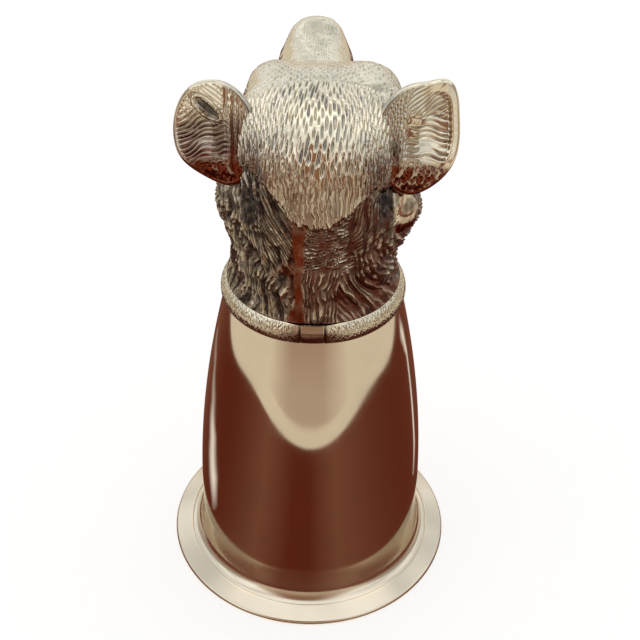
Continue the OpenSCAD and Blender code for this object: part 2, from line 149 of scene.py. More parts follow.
class StageSettings(bpy.types.PropertyGroup):
    """Light, cards and camera."""

    lamp_power: bpy.props.FloatProperty(
        name="Lamp power", description="Power of the overhead soft lamp", default=1.4, unit="POWER")
    table: bpy.props.FloatVectorProperty(
        name="Table card", description="Colour of the card that the polished wall reflects",
        subtype="COLOR", size=4, default=(0.115, 0.022, 0.01, 1), min=0, max=1)
    haze: bpy.props.FloatVectorProperty(
        name="Table haze", description="Colour of the two hazy bands on the table card",
        subtype="COLOR", size=4, default=(0.2, 0.078, 0.048, 1), min=0, max=1)
    room: bpy.props.FloatVectorProperty(
        name="Room card", description="Colour of the wall card that the polished wall reflects",
        subtype="COLOR", size=4, default=(0.76, 0.69, 0.57, 1), min=0, max=1)
    shade: bpy.props.FloatVectorProperty(
        name="Shade card", description="Colour of the card behind the camera that the crown reflects",
        subtype="COLOR", size=4, default=(0.27, 0.13, 0.075, 1), min=0, max=1)


# Meshes from arrays


def put_mesh(name, points, quads, tris=None, values=None, sharp=60):
    """An object whose mesh has these points, in millimetres, faces and named point values.

    The faces are turned outwards by the sign of the enclosed volume, the sum of a . (b x c) / 6 over the
    triangles.
    """
    tris = np.zeros((0, 3), int) if tris is None else np.asarray(tris)
    flat = np.concatenate([quads[:, [0, 1, 2]], quads[:, [0, 2, 3]], tris])
    a, b, c = (points[flat[:, i]] for i in range(3))
    if np.einsum("ij,ij->i", a, np.cross(b, c)).sum() < 0:
        quads, tris = quads[:, ::-1], tris[:, ::-1]
    mesh = bpy.data.meshes.new(name)
    mesh.vertices.add(len(points))
    mesh.vertices.foreach_set("co", (points * MM).astype(np.float32).ravel())
    loops = np.concatenate([quads.ravel(), tris.ravel()]).astype(np.int32)
    starts = np.concatenate([np.arange(len(quads)) * 4, len(quads) * 4 + np.arange(len(tris)) * 3])
    mesh.loops.add(len(loops))
    mesh.loops.foreach_set("vertex_index", loops)
    mesh.polygons.add(len(starts))
    mesh.polygons.foreach_set("loop_start", starts.astype(np.int32))
    mesh.update(calc_edges=True)
    if mesh.validate():
        raise RuntimeError(f"the faces of {name} were not sound")
    mesh.shade_smooth()
    mesh.set_sharp_from_angle(angle=math.radians(sharp))
    for key, value in (values or {}).items():
        layer = mesh.attributes.new(key, "FLOAT", "POINT")
        layer.data.foreach_set("value", np.asarray(value, np.float32).ravel())
    piece = bpy.data.objects.new(name, mesh)
    bpy.context.scene.collection.objects.link(piece)
    return piece


def grid_quads(rows, columns, close_rows=False, close_columns=False):
    """Four corners of each cell of a grid of points, numbered row by row, joined round where it closes."""
    i = np.arange(rows if close_rows else rows - 1)[:, None]
    j = np.arange(columns if close_columns else columns - 1)[None, :]
    k, m = (i + 1) % rows, (j + 1) % columns
    return np.stack([i * columns + j, k * columns + j, k * columns + m, i * columns + m], -1).reshape(-1, 4)


def fan(count, first=0, flip=False):
    """Triangles from the first of a run of points to each two neighbours after it."""
    j = first + np.arange(1, count - 1)
    return np.stack([first + 0 * j, j + 1, j] if flip else [first + 0 * j, j, j + 1], -1)


def turned(section, sides):
    """A closed section of radius and height turned round the axis: (r cos a, r sin a, z) at the angle a."""
    a = np.linspace(0, 2 * np.pi, sides, endpoint=False)
    r, z = section[:, :1], section[:, 1:]
    points = np.stack([r * np.cos(a), r * np.sin(a), z + 0 * a], -1)
    return points.reshape(-1, 3), grid_quads(len(section), sides, True, True)


def finish_piece(piece, body_nodes, material):
    """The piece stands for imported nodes, rides on the body and wears a material."""
    piece.data.materials.append(material)
    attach(piece, BODY)
    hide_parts(*body_nodes)


# Cut strokes


def scatter(number, seed):
    """A repeatable number from 0 to 1 for each whole number: the fraction of a large sine."""
    return np.modf(np.abs(np.sin(number * 12.9898 + seed * 78.233) * 43758.5453))[0]


def ease(low, high, value):
    """0 below low, 1 above high and a smooth cubic between."""
    t = np.clip((value - low) / (high - low), 0, 1)
    return t * t * (3 - 2 * t)


def ripple(u, v, seed):
    """A smooth wandering value near -1 to 1: the mean of sines in turned directions with scattered phases."""
    total = 0.0
    for k in range(5):
        angle, phase = 6.28 * scatter(k + 1, seed), 6.28 * scatter(k + 9, seed)
        stretch = 0.6 + 0.9 * scatter(k + 17, seed)
        total = total + np.sin(stretch * (u * math.cos(angle) + v * math.sin(angle)) + phase)
    return total / 2.6


def strokes(across, along, pitch, length, seed, width=0.3):
    """Depth from 0 to 1 of short cuts in staggered columns.

    Columns stand a pitch apart. Down each, cuts of a length follow each other from a scattered start. A cut
    is a lens: a bell across its column, whose width and depth swell and fade as a parabola along the cut.
    """
    column = np.floor(across / pitch)
    u = across / pitch - column - 0.5
    v = along / (length * (0.75 + 0.5 * scatter(column, seed))) + 7 * scatter(column, seed + 1)
    cell = np.floor(v)
    v = 2 * (v - cell) - 1
    luck = scatter(column * 57 + cell * 13, seed + 2)
    shift = 0.3 * (scatter(column * 31 + cell * 7, seed + 3) - 0.5)
    reach = 0.62 + 0.36 * luck
    lens = np.clip(1 - (v / reach) ** 2, 0, 1)
    bell = np.exp(-((u - shift) / (width * (0.45 + 0.55 * lens))) ** 2)
    return bell * np.sqrt(lens) * (0.55 + 0.45 * luck)


def network(across, along, pitch, length, seed):
    """Distance in millimetres to the nearest ridge of a net of long cells, and a scattered number per cell.

    The cells' centres stand on a lattice of a pitch by a length, whose odd columns are shifted by half, and
    each is moved by a scattered amount. A ridge lies where the two nearest centres are equally far, counted
    in pitches across and in lengths along, so the distance is half the difference of the two, times the
    pitch.
    """
    u, v = across / pitch, along / length
    column = np.floor(u)
    best, second, luck = np.full(u.shape, 9.0), np.full(u.shape, 9.0), np.zeros(u.shape)
    for i in (-1, 0, 1):
        c = column + i
        shift = 0.5 * np.mod(c, 2)
        row = np.floor(v - shift)
        for j in (-1, 0, 1):
            key = c * 57 + (row + j) * 131
            at_u = c + 0.5 + 0.4 * (scatter(key, seed) - 0.5)
            at_v = row + j + shift + 0.5 + 0.5 * (scatter(key, seed + 1) - 0.5)
            d = np.hypot(u - at_u, v - at_v)
            nearer = d < best
            second = np.where(nearer, best, np.minimum(second, d))
            luck = np.where(nearer, scatter(key, seed + 2), luck)
            best = np.where(nearer, d, best)
    return (second - best) * pitch / 2, luck


def strands(across, along, pitch, seed):
    """Distance in millimetres to the nearest of wavering lines, and a scattered number for each.

    They lie a pitch apart, waver by a wide and a narrow smooth ripple, and thin out where a third is low.
    """
    waver = 0.5 * ripple(across * 0.7, along * 0.5, seed) + 0.16 * ripple(across * 2.3, along * 1.9, seed + 1)
    line = across / pitch + waver / pitch
    number = np.floor(line)
    thin = 0.3 * np.clip(-0.2 - ripple(number * 9.7, along * 0.9, seed + 2), 0, 1)
    return np.abs(line - number - 0.5) * pitch + thin, scatter(number + np.floor(along / 6) * 37, seed + 3)


def crest(distance, width, power=2):
    """1 on a ridge and 0 in the cells: a bell of the distance over the width, flatter at a higher power."""
    return np.exp(-(distance / width) ** power)


def furrows(across, pitch):
    """Depth from 0 to 1 of furrows side by side: a cosine across them, sharpened to round the ridges."""
    wave = 0.5 + 0.5 * np.cos(2 * np.pi * across / pitch)
    return wave ** 1.8


# The cup

# Radius of the lap's eased edge, length from the lap's edge to the sloping face, and the gap left for solder
LAP_EASE, FACE_START, SOLDER_GAP = 0.25, 0.6, 0.1
WALL_ROWS, CUP_SIDES = 90, 256


def cup_shape(cup):
    """Lengths of the cup's section in millimetres, worked out from its settings.

    The sweep into the cove is softer than the solid's.
    """
    rim, height = cup.rim_radius / MM, cup.height / MM
    foot, belly, top = cup.foot_radius / MM, cup.belly_radius / MM, cup.top_radius / MM
    sheet = cup.sheet / MM
    slope, step, margin, lap, land = math.radians(20), 0.4, 0.6, 1.7, 0.15
    sweep, sweep_turn, cove, cove_turn = 32.0, math.radians(10.8), 3.4, math.pi / 2 - slope
    edge = (step + sheet) / 2
    over = step - edge
    sweep_r = foot + sweep * (1 - math.cos(sweep_turn))
    end_r = sweep_r + cove * (math.cos(sweep_turn) - math.cos(cove_turn))
    along = (rim - edge - end_r - over * math.sin(slope)) / math.cos(slope)
    edge_z = edge - land
    end_z = edge_z + along * math.sin(slope) - over * math.cos(slope)
    sweep_end_z = end_z + cove * (math.sin(cove_turn) - math.sin(sweep_turn))
    return {
        "rim": rim, "height": height, "foot": foot, "belly": belly, "top": top, "sheet": sheet,
        "slope": slope, "step": step, "margin": margin,
        "edge": edge, "edge_z": edge_z, "end_r": end_r, "end_z": end_z,
        "flare": margin + lap, "land": (end_z - sheet * math.cos(slope)) / math.sin(slope),
        "sweep_z": sweep_end_z + sweep * math.sin(sweep_turn),
        "bends": (
            (sweep, 0.0, sweep_turn, foot + sweep, sweep_end_z + sweep * math.sin(sweep_turn)),
            (cove, sweep_turn, cove_turn, sweep_r + cove * math.cos(sweep_turn),
             sweep_end_z + cove * math.sin(sweep_turn))),
    }


def flare_points(c, along, across):
    """Points of the flare's section from their lengths along its slope and across it."""
    along, across = np.broadcast_arrays(np.asarray(along, float), np.asarray(across, float))
    cos, sin = math.cos(c["slope"]), math.sin(c["slope"])
    return np.stack([c["end_r"] + along * cos + across * sin, c["end_z"] - along * sin + across * cos], -1)


def wall_radius(c, z):
    """Outer radius of the wall at a height: a quadratic from the foot to the top that leans to the belly."""
    s = (z - c["sweep_z"]) / (c["height"] - c["sweep_z"])
    return c["foot"] * (1 - s) ** 2 + 2 * c["belly"] * s * (1 - s) + c["top"] * s ** 2


def wall_section(c):
    """The sheet's section: down the wall, round two bends and along the flare, and the same set in.

    A bend of radius R about a centre lies at the centre minus R (cos a, sin a) while the angle a goes from
    start to end.
    """
    z = np.linspace(c["height"], c["sweep_z"], WALL_ROWS)
    lines = []
    for inset in (0, c["sheet"]):
        line = [np.stack([wall_radius(c, z) - inset, z], -1)]
        for radius, start, end, centre_r, centre_z in c["bends"]:
            turn = np.linspace(start, end, 20)[1:]
            r = radius + inset
            line.append(np.stack([centre_r - r * np.cos(turn), centre_z - r * np.sin(turn)], -1))
        line.append(flare_points(c, np.linspace(0, c["flare"], 5)[1:], -inset))
        lines.append(np.concatenate(line))
    return np.concatenate([lines[0], lines[1][::-1]])


def lip_section(c):
    """The ring's section: an eased lap over the flare, a sloping face and a round edge that is flat below."""
    ease_turn = np.linspace(np.pi, np.pi / 2, 7)
    lap_along = c["margin"] + LAP_EASE + LAP_EASE * np.cos(ease_turn)
    lap_across = c["step"] - LAP_EASE + LAP_EASE * np.sin(ease_turn)
    lap = flare_points(c, lap_along, lap_across)
    centre = np.array([c["rim"] - c["edge"], c["edge_z"]])
    start = flare_points(c, c["margin"] + FACE_START, c["step"])
    turn = np.linspace(math.pi / 2 - c["slope"], -math.asin(c["edge_z"] / c["edge"]), 28)
    edge = centre + c["edge"] * np.stack([np.cos(turn), np.sin(turn)], -1)
    face = start + (edge[0] - start) * np.linspace(0, 1, 10)[:-1, None]
    under = flare_points(c, np.array([c["land"], c["flare"] + SOLDER_GAP]), -c["sheet"])
    inner = flare_points(c, np.array([c["flare"] + SOLDER_GAP, c["margin"]]), 0.0)
    return np.concatenate([lap, face, edge, under, inner])


# The head

# Rounded lumps of the head: centre, radii, tilt forward in degrees, and whether a mirrored one goes with it.
# Millimetres, with heights above the neck's seat.
LUMPS = (
    ((0, -0.3, 7.2), (20.3, 20.3, 26), 0, False),      # neck
    ((0, -7, 27.2), (16.5, 13.5, 17), 0, False),       # nape
    ((0, -1, 36.7), (16.8, 18, 15.3), 0, False),       # skull
    ((0, 8, 42.7), (14.5, 12, 9.6), 0, False),         # forehead
    ((15.4, 6, 21), (8.6, 10.5, 9.6), 0, True),        # cheeks
    ((0, 14.5, 25), (9.5, 9, 7.5), 0, False),          # throat
    ((12.8, 6, 40.2), (5.4, 10, 8.5), 0, True),        # temples
    ((10.3, 15.2, 46.4), (5.2, 4.6, 4), 0, True),      # brows
    ((0, 24, 39.7), (9.4, 13, 7.4), 0, False),         # bridge
    ((0, 33, 39.2), (8, 11, 7.6), 0, False),           # muzzle
    ((0, 39, 40.2), (6.9, 6.5, 6.6), 0, False),        # snout
    ((4, 39.5, 37), (3.8, 5.2, 4.2), 0, True),         # upper lip
    ((0, 30, 31.8), (7.2, 12, 4.4), 12, False),        # jaw
    ((0, 42.2, 46.5), (5.4, 3.6, 3), 18, False),       # nose
)
FIELD_BLEND = 2.2
# Neck's radius in the collar, the height that the collar covers, and that over which the lumps take over
NECK_R, COLLAR_COVER, NECK_BLEND = 20.9, 3.2, 5.0
# The rays' spine: arm of its bend, height along the muzzle, its end, and the last ray's lean there
ARM, AXIS_RISE, SNOUT_Y, LAST_LEAN = 24.5, 39.7, 37.0, math.radians(88.5)
PIVOT_Z = AXIS_RISE - ARM
# Lengths that the rows' spacing is worked out from, round the bend and over the nose
BEND_R, NOSE_SPAN = 42.0, 14.0
HEAD_ROWS, FUR_ROWS, HEAD_COLUMNS, RAY_LIMIT, HALVINGS = 338, 286, 290, 45.0, 18
SHRINK = 0.1

# Places of the carving on the right, with heights above the neck's seat
EYE, SOCKET = (11.6, 19.9, 42.0), (8.2, 21.0, 41.6)
NOSTRIL, NOSE_WING = (2.7, 46.0, 43.8), (4.6, 43.2, 47.0)
NOSE_PAD, PAD_R = (0, 46.0, 44.6), 5.2
MUZZLE_END, MOUTH_Z, MOUTH_SLOPE = 45.5, 33.4, 0.12
RIGHT_HOLLOW, LEFT_HOLLOW, HOLLOW_R = (17.2, -9.8, 29.8), (16.0, -12.0, 29.4), 4.4
MANE_TIP_Z = 29.3
# The cheek's bulge is round in heights shrunk by its squash
BULGE, BULGE_R, BULGE_SQUASH, BULGE_RISE = (19.6, -4.5, 17.8), 4.8, 0.75, 1.6
# Lengths round the neck and along it: length for each radian, and the points that locks and hair swing about
NECK_ROUND = 18.0
LOCK_CENTRE, LOCK_PITCH = (27, 25), 7.0
SWING_CENTRE, SWING_R = (38, 27), 25.0
CHANNEL_X, BLOT_X, BLOT_Z = -3.6, -6.4, 16.5


def head_field(p):
    """Blended distance to the lumps, negative inside.

    It is minus a blend length times the log of the sum of exp(-distance / blend length) over the lumps. The
    distance to one lump is k0 (k0 - 1) / k1, with k0 the point's length in radii and k1 that over the radii
    again.
    """
    total = 0.0
    for centre, radii, tilt, paired in LUMPS:
        cos, sin = math.cos(math.radians(tilt)), math.sin(math.radians(tilt))
        for side in ((1, -1) if paired else (1,)):
            x, y, z = p[..., 0] - side * centre[0], p[..., 1] - centre[1], p[..., 2] - centre[2]
            u, v, w = x / radii[0], (y * cos + z * sin) / radii[1], (z * cos - y * sin) / radii[2]
            k0 = np.sqrt(u * u + v * v + w * w)
            k1 = np.sqrt((u / radii[0]) ** 2 + (v / radii[1]) ** 2 + (w / radii[2]) ** 2) + 1e-9
            total = total + np.exp(-np.clip(k0 * (k0 - 1) / k1 / FIELD_BLEND, -40, 40))
    return -FIELD_BLEND * np.log(total)


def head_rays():
    """Rays to the right half of the head: origins, directions, length along the spine and turn round it.

    Rows climb the neck, bend forward a quarter turn about a pivot, run along the muzzle and lean out to
    close the nose. In a row the rays turn from the back through the side to the front.
    """
    spans = np.array([PIVOT_Z, BEND_R * np.pi / 2, SNOUT_Y - ARM, NOSE_SPAN])
    edges = np.concatenate([[0], np.cumsum(spans)])
    fur = np.linspace(0, edges[2], FUR_ROWS, endpoint=False)
    along = np.concatenate([fur, np.linspace(edges[2], edges[-1], HEAD_ROWS - FUR_ROWS)])
    neck, bend, muzzle, cap = (np.clip((along - edges[i]) / spans[i], 0, 1) for i in range(4))
    t = np.linspace(0, 1, HEAD_COLUMNS)
    turn = np.pi * (0.42 * t + 0.20 * t ** 2 + 0.38 * t ** 3)
    tilt, lean = bend * np.pi / 2, cap * LAST_LEAN
    zero = np.zeros(HEAD_ROWS)
    back = np.stack([zero, -np.cos(tilt), np.sin(tilt)], -1)
    forward = ARM * (1 - np.cos(tilt)) + muzzle * spans[2]
    start = np.stack([zero, forward, neck * PIVOT_Z + ARM * np.sin(tilt)], -1)
    ring = np.cos(turn)[None, :, None] * back[:, None] + np.sin(turn)[None, :, None] * np.array([1.0, 0, 0])
    aim = np.cos(lean)[:, None, None] * ring + np.sin(lean)[:, None, None] * np.array([0, 1.0, 0])
    return start[:, None] + 0 * aim, aim, along[:, None] + 0 * turn, turn + 0 * along[:, None]


def head_reach(start, aim):
    """Length of each ray to the field's surface, by halving, or to a circle inside the collar."""
    near, far = np.zeros(start.shape[:2]), np.full(start.shape[:2], RAY_LIMIT)
    for _ in range(HALVINGS):
        middle = (near + far) / 2
        inside = head_field(start + middle[..., None] * aim) < 0
        near, far = np.where(inside, middle, near), np.where(inside, far, middle)
    share = np.clip((start[..., 2] - COLLAR_COVER) / NECK_BLEND, 0, 1)
    return NECK_R + ((near + far) / 2 - NECK_R) * share


def bump(p, centre, radius):
    """A round bell of height 1 at a centre, exp(-(distance / radius) squared)."""
    return np.exp(-((p - np.array(centre)) ** 2).sum(-1) / radius ** 2)


def mane_edge(x, across, along):
    """Height of the mane's lower edge: a flat tip at the nape that climbs to both sides, steeper on the left.

    It wanders by a smooth ripple, and each tip of hair ends at a scattered height of its own.
    """
    far = np.abs(x - 0.3)
    climb, sink = np.where(x < 0, 8.0, 5.6), np.where(x < 0, 0.5, 2.5)
    tip = np.floor(across / 0.9 + 0.3 * ripple(along * 0.8, across, 6))
    height = MANE_TIP_Z + climb * ease(3, 12, far) - sink * ease(12, 17, far)
    return height + 0.9 * ripple(across * 0.9, along * 0.2, 8) + 1.3 * (scatter(tip, 5) - 0.5)


def broad_locks(x, across, along):
    """Waves from 0 to 1 between the broad locks on the neck: a raised cosine of a length over the pitch.

    On the right the length is the distance from a point below the ear, on the left the swaying distance
    round the neck.
    """
    swung = np.hypot(across - LOCK_CENTRE[0], along - LOCK_CENTRE[1])
    hung = np.abs(across) + 0.6 * np.sin(2 * np.pi * along / 11)
    return (0.5 + 0.5 * np.cos(2 * np.pi * np.where(x > 0, swung, hung) / LOCK_PITCH)) * ease(2, 7, np.abs(x))


def crown_hair(arc, along, sway, lean, thin, pitch):
    """Ridges from 0 to 1 on the crown, and a scattered number for each cell or strand.

    A net of long cells, leaning on the left, turns by shares into fine strands where the hair is thin.
    """
    net, luck = network(arc + 0.4 * sway - lean, along + 0.8 * sway, pitch, 4.6, 1)
    fine, fine_luck = strands(arc + 0.3 * sway - 0.5 * lean, along, 0.85, 71)
    ridges = crest(net, 0.2 - 0.07 * luck, 4) * (1 - thin) + crest(fine, 0.19) * thin
    return ridges, np.where(thin > 0.5, fine_luck, luck)


def nape_channel(x, z):
    """Share from 0 to 1 of the plain channel down the nape, with a bare blot beside it."""
    middle = CHANNEL_X + 0.3 * ripple(z * 0.5, z * 0.1, 4)
    half = 0.8 + 0.4 * ease(16, 22, z) + 0.3 * ease(24, 29, z) + 1.2 * ease(8, 3, z)
    channel = ease(half + 0.5, half - 0.1, np.abs(x - middle))
    aside = x - BLOT_X
    blot = np.exp(-(aside / 3.4) ** 2 - ((z - BLOT_Z - 0.4 * aside) / 2.0) ** 2)
    blot = blot + 0.2 * ripple(x * 2, z * 2, 9)
    return np.maximum(channel, 0.75 * ease(0.35, 0.75, blot))


def neck_hair(x, z, across, along, sway):
    """Ridges from 0 to 1 on the neck, a scattered number for each, how grey they are, and the partings.

    Far left the hair hangs in waves, with a fine mottle low down, and nearer the channel it slants down to
    it. Right of the channel short dashes lie level above a combed strip. Further right it swings in wide
    arcs about a point on the throat's side, and slants below the mane. A smooth ripple breaks the ridges.
    Wider apart, broken black partings run with the waves and the arcs.
    """
    wave = across + 0.7 * np.sin(0.5 * along + 0.35 * across)
    from_across, from_along = across - SWING_CENTRE[0], along - SWING_CENTRE[1]
    ring = np.hypot(from_across, from_along) + 0.9 * ripple(across * 0.45, along * 0.45, 43)
    around = np.arctan2(from_along, from_across)
    swung = SWING_R * np.where(around < 0, around + 2 * np.pi, around)
    right, rear = ease(-3.2, -2.4, x), ease(35, 30, np.abs(across))
    mottled = 0.4 * (1 - right) * ease(9, 6, z)
    slanting = ease(-14, -11, x) * ease(12, 15, z) * (1 - right)
    dashed = right * rear * ease(10, 7, x) * ease(15.5, 17, z)
    combed = right * rear * ease(6.4, 5.4, x) * ease(17.5, 16.5, z)
    left_parting, _ = strands(wave, along, 2.9, 91)
    right_parting, _ = strands(ring, swung, 2.7, 93)
    parting = crest(left_parting, 0.42) * (1 - right) + crest(right_parting, 0.5) * right * ease(5, 9, x)
    parting = parting * np.clip(0.55 + 0.9 * ripple(across * 0.8, along * 0.5, 95), 0, 1)
    # Each layer has its lines or net, the width of a ridge, the layer's share and how grey its ridges are.
    layers = (
        (strands(wave, along, 1.1, 11), 0.26, np.ones_like(x), 0.55),
        (network(across + 0.5 * sway, along, 0.7, 1.9, 29), 0.16, mottled, 0.7),
        (strands(across + 0.5 * (z - 15), along, 0.9, 41), 0.2, slanting, 0.3),
        (strands(ring, swung, 1.35, 47), 0.34, right, 0.6),
        (strands(across - 0.5 * (z - 20) + 0.9 * sway, along, 0.95, 23), 0.22, right * ease(19, 24, z), 0.5),
        (strands(z - 0.25 * x, x * 1.5, 0.8, 53), 0.16, dashed, 0.3),
        (strands(x, z * 1.3, 1.05, 59), 0.26, combed, 0.0),
    )
    ridge, luck, grey = 0.0, 0.0, 0.0
    for (distance, number), width, share, greyness in layers:
        ridge = ridge * (1 - share) + crest(distance, width) * share
        luck = np.where(share > 0.6, number, luck)
        grey = grey * (1 - share) + greyness * share
    broken = np.clip(0.85 + 0.8 * ripple(across * 1.9, along * 1.3, 63), 0.3, 1)
    return ridge * broken * (1 - parting), luck, grey, parting


def face_carving(p, q, across, along, sway):
    """Depth of the face's cuts, and from 0 to 1 its blackened lines and the floors between its hairs.

    The cuts are short hairs, a furrow behind the brows, eyes in their sockets, nostrils and a line round
    the nose's pad, and a line for the mouth.
    """
    x, y, z = p[..., 0], p[..., 1], p[..., 2]
    hairs, luck = network(across + 0.4 * sway, along, 0.8, 2.2, 81)
    fine, _ = network(across + 0.3 * sway, along, 0.6, 1.6, 82)
    snout = ease(18, 24, y)
    ridges = crest(hairs, 0.2) * (1 - snout) + crest(fine, 0.17) * snout
    cloudy = 0.7 + 0.4 * ripple(across * 0.5, along * 0.5, 83)
    floors = (1 - ridges) * (0.3 + 0.7 * luck) * (1 - 0.6 * snout) * cloudy
    hammered = ripple(across * 2.0, along * 1.6, 85) + 0.6 * ripple(across * 3.4, along * 2.6, 87)
    cut = (0.25 * floors + 0.03 * hammered) * ease(3, 6, y)
    cut = cut + 0.35 * np.exp(-((y - 2.2) / 1.3) ** 2) * ease(42, 47, z)
    ball = bump(q, EYE, 1.5)
    cut = cut + 1.1 * bump(q, EYE, 3.0) - 1.1 * ball + 0.3 * bump(q, SOCKET, 3.2)
    nostril = bump(q, NOSTRIL, 1.3)
    cut = cut + 0.9 * nostril + 0.4 * bump(q, NOSE_WING, 1.3)
    pad = np.sqrt(((p - np.array(NOSE_PAD)) ** 2).sum(-1))
    border = np.exp(-((pad - PAD_R) / 0.5) ** 2)
    cut = cut + 0.2 * border
    lip_z = MOUTH_Z + MOUTH_SLOPE * (MUZZLE_END - y)
    mouth = np.exp(-((z - lip_z) / 0.7) ** 2) * ease(25.5, 30.5, y)
    cut = cut + 0.75 * mouth
    groove = np.exp(-(x / 0.5) ** 2) * ease(43, 45, y) * ease(43.5, 42, z) * ease(33, 34.5, z)
    cut = cut + 0.35 * groove
    lid = np.clip(1.7 * bump(q, EYE, 2.3) - 1.7 * ball, 0, 1)
    black = 1.2 * lid + 0.7 * ease(0.55, 0.85, ball) + nostril + 0.5 * border + 0.8 * mouth + 0.5 * groove
    return cut, np.clip(black, 0, 1), np.clip(floors + 0.6 * ease(PAD_R, 4.4, pad), 0, 1)


def head_carving(p, along, turn, arc, side, head):
    """Depth of the carving on the head in millimetres, and its oxide, its blackening and painted shade, and
    its painted brown reflection.

    The crown is a net of thin ridges round long sunk cells that follow the spine, and ends in a V above the
    neck. The neck's hair and its partings lie on broad locks either side of a plain channel, and dark
    hollows part it from the cheeks. A small bulge stands out of the right cheek.
    """
    x, y, z = p[..., 0], p[..., 1], p[..., 2]
    q = np.stack([np.abs(x), y, z], -1)
    across = side * NECK_ROUND * turn
    sway = ripple(across * 0.5, along * 0.35, 3)
    edge = mane_edge(x, across, along)
    over = z - edge
    mane = ease(-0.5, 0.5, over)
    front = ease(13, 18, y)
    face = np.maximum(ease(1.5, 4.0, y) * ease(36, 41, z), front * ease(23, 28, z))

    low_v = ease(15, 4, over) * ease(12, 7, np.abs(x))
    beside = ease(8.5, 13, np.abs(x) + 0.9 * sway) * ease(46, 37, z + 1.5 * sway)
    lean = 0.14 * (along - 60) * ease(9, -5, x)
    crown, luck = crown_hair(arc, along, sway, lean, np.maximum(low_v, beside), head.hair_pitch / MM)
    hair, hair_luck, grey, parting = neck_hair(x, z, across, along, sway)
    channel = nape_channel(x, z) * (1 - mane) * ease(-5, -10, y)
    bulge = bump(p * np.array([1, 1, BULGE_SQUASH]), BULGE, BULGE_R)
    plain = np.clip(channel + ease(0.35, 0.7, bulge), 0, 1)
    hollow = np.where(x > 0, bump(q, RIGHT_HOLLOW, HOLLOW_R), bump(q, LEFT_HOLLOW, HOLLOW_R))

    lower = (1 - mane) * (1 - face)
    neck_floor = lower * (1 - plain) * (0.5 * (1 - hair) + 0.35 * parting)
    floor = mane * (1 - crown) * (1 - face) * (head.hair_depth / MM) + neck_floor
    locks = head.mane_step / MM * ease(-12, 0, over) + head.lock_depth / MM * broad_locks(x, across, along)
    cut = floor + lower * (1 - front) * locks
    cut = cut + lower * 0.5 * np.exp(-((x + 3) / 1.6) ** 2) * ease(-5, -10, y)
    cut = cut + head.hollow_depth / MM * hollow * (1 - face) - BULGE_RISE * bulge
    features, black, dashes = face_carving(p, q, arc, along, sway)
    cut = (cut + features * face) * ease(2.6, 5.0, z) - 0.45 * ease(1.8, 3.2, z) * ease(7.0, 4.0, z)

    furred = mane * (1 - face)
    gaps = furred * (1 - crown)
    stripes = furrows(x + 0.4 * y + 0.3 * sway, 1.3) * ease(0.3, 0.6, bulge)
    stripes = stripes * ease(22.5, 24.5, z) * ease(20.0, 21.5, x)
    clean = 1 - 0.95 * ease(0.25, 0.5, bulge)
    tarnish_and_shade = gaps * (0.36 + 0.64 * luck) * (1 - 0.6 * low_v) + furred * (0.3 * beside + 0.04 * low_v)
    patchy = np.clip(0.75 + 0.7 * ripple(across * 1.3, along * 0.4, 61), 0.1, 1.6)
    tarnish_and_shade = tarnish_and_shade + lower * 0.34 * grey * patchy * (1 - 0.8 * plain)
    tarnish_and_shade = tarnish_and_shade * clean + 0.5 * lower * stripes
    tarnish_and_shade = tarnish_and_shade + face * (0.16 + 0.75 * dashes)
    soot_and_shade = gaps * (0.35 * (luck < 0.4) + 0.45 * beside * (luck < 0.6)) * (1 - 0.5 * low_v)
    soot_and_shade = soot_and_shade + lower * (1 - plain) * ((1 - hair) * (0.82 + 0.18 * hair_luck) + parting)
    soot_and_shade = soot_and_shade + 0.95 * np.clip(1.25 * hollow, 0, 1) * (1 - face)
    soot_and_shade = soot_and_shade * clean + 0.85 * face * black + 0.4 * lower * stripes
    # Painted shadow of the mane's tip at the top of the channel.
    soot_and_shade = soot_and_shade + 0.35 * channel * ease(-3.5, -0.5, over)
    # Where the neck is painted with the brown table's reflection: its left side, some hair on the right, and a
    # little everywhere.
    warm = ease(-9, -2, x) * ease(15, 9, np.abs(x - 3)) + 0.7 * ease(6, 12, x) * (hair_luck < 0.5) + 0.25
    reflects_brown = np.clip(warm, 0, 1) * (1 - channel) * (1 - hollow)
    # Painted brown reflection of the table and the shade card: in the channel, between the neck's hairs, on
    # the bulge's lower face, in the mane's V and at the crown's sides.
    painted_reflection = lower * (0.95 * channel + 0.6 * reflects_brown * (1 - hair) * (1.1 - 0.7 * hair_luck))
    painted_reflection = painted_reflection + lower * (0.1 + 0.2 * hair) * ease(0.4, 0.9, reflects_brown) * patchy * clean
    painted_reflection = painted_reflection + lower * 0.85 * ease(0.25, 0.5, bulge) * ease(22.5, 20.5, z)
    painted_reflection = painted_reflection + gaps * (0.35 * low_v + 0.6 * beside * (luck > 0.45))
    painted_reflection = painted_reflection + furred * (0.16 * beside + 0.03 * ease(34, 14, over))
    tones = (np.clip(t, 0, 1) for t in (tarnish_and_shade, soot_and_shade, painted_reflection))
    return np.maximum(cut, -BULGE_RISE), *tones


def uneven_sides(p, side):
    """The points with unlike sides: the right brow and cheek stand out more, the right muzzle is slimmer."""
    y, z = p[..., 1], p[..., 2]
    brow = ease(2, 9, y) * ease(24, 18, y) * ease(36, 42, z)
    cheek = ease(10, 17, z) * ease(33, 26, z) * ease(20, 10, y)
    slim = ease(27, 37, y)
    wider = (0.15 * brow + 0.09 * cheek - 0.06 * slim) if side > 0 else (-0.05 * brow)
    return p * np.stack([1 + wider, np.ones_like(wider), np.ones_like(wider)], -1)


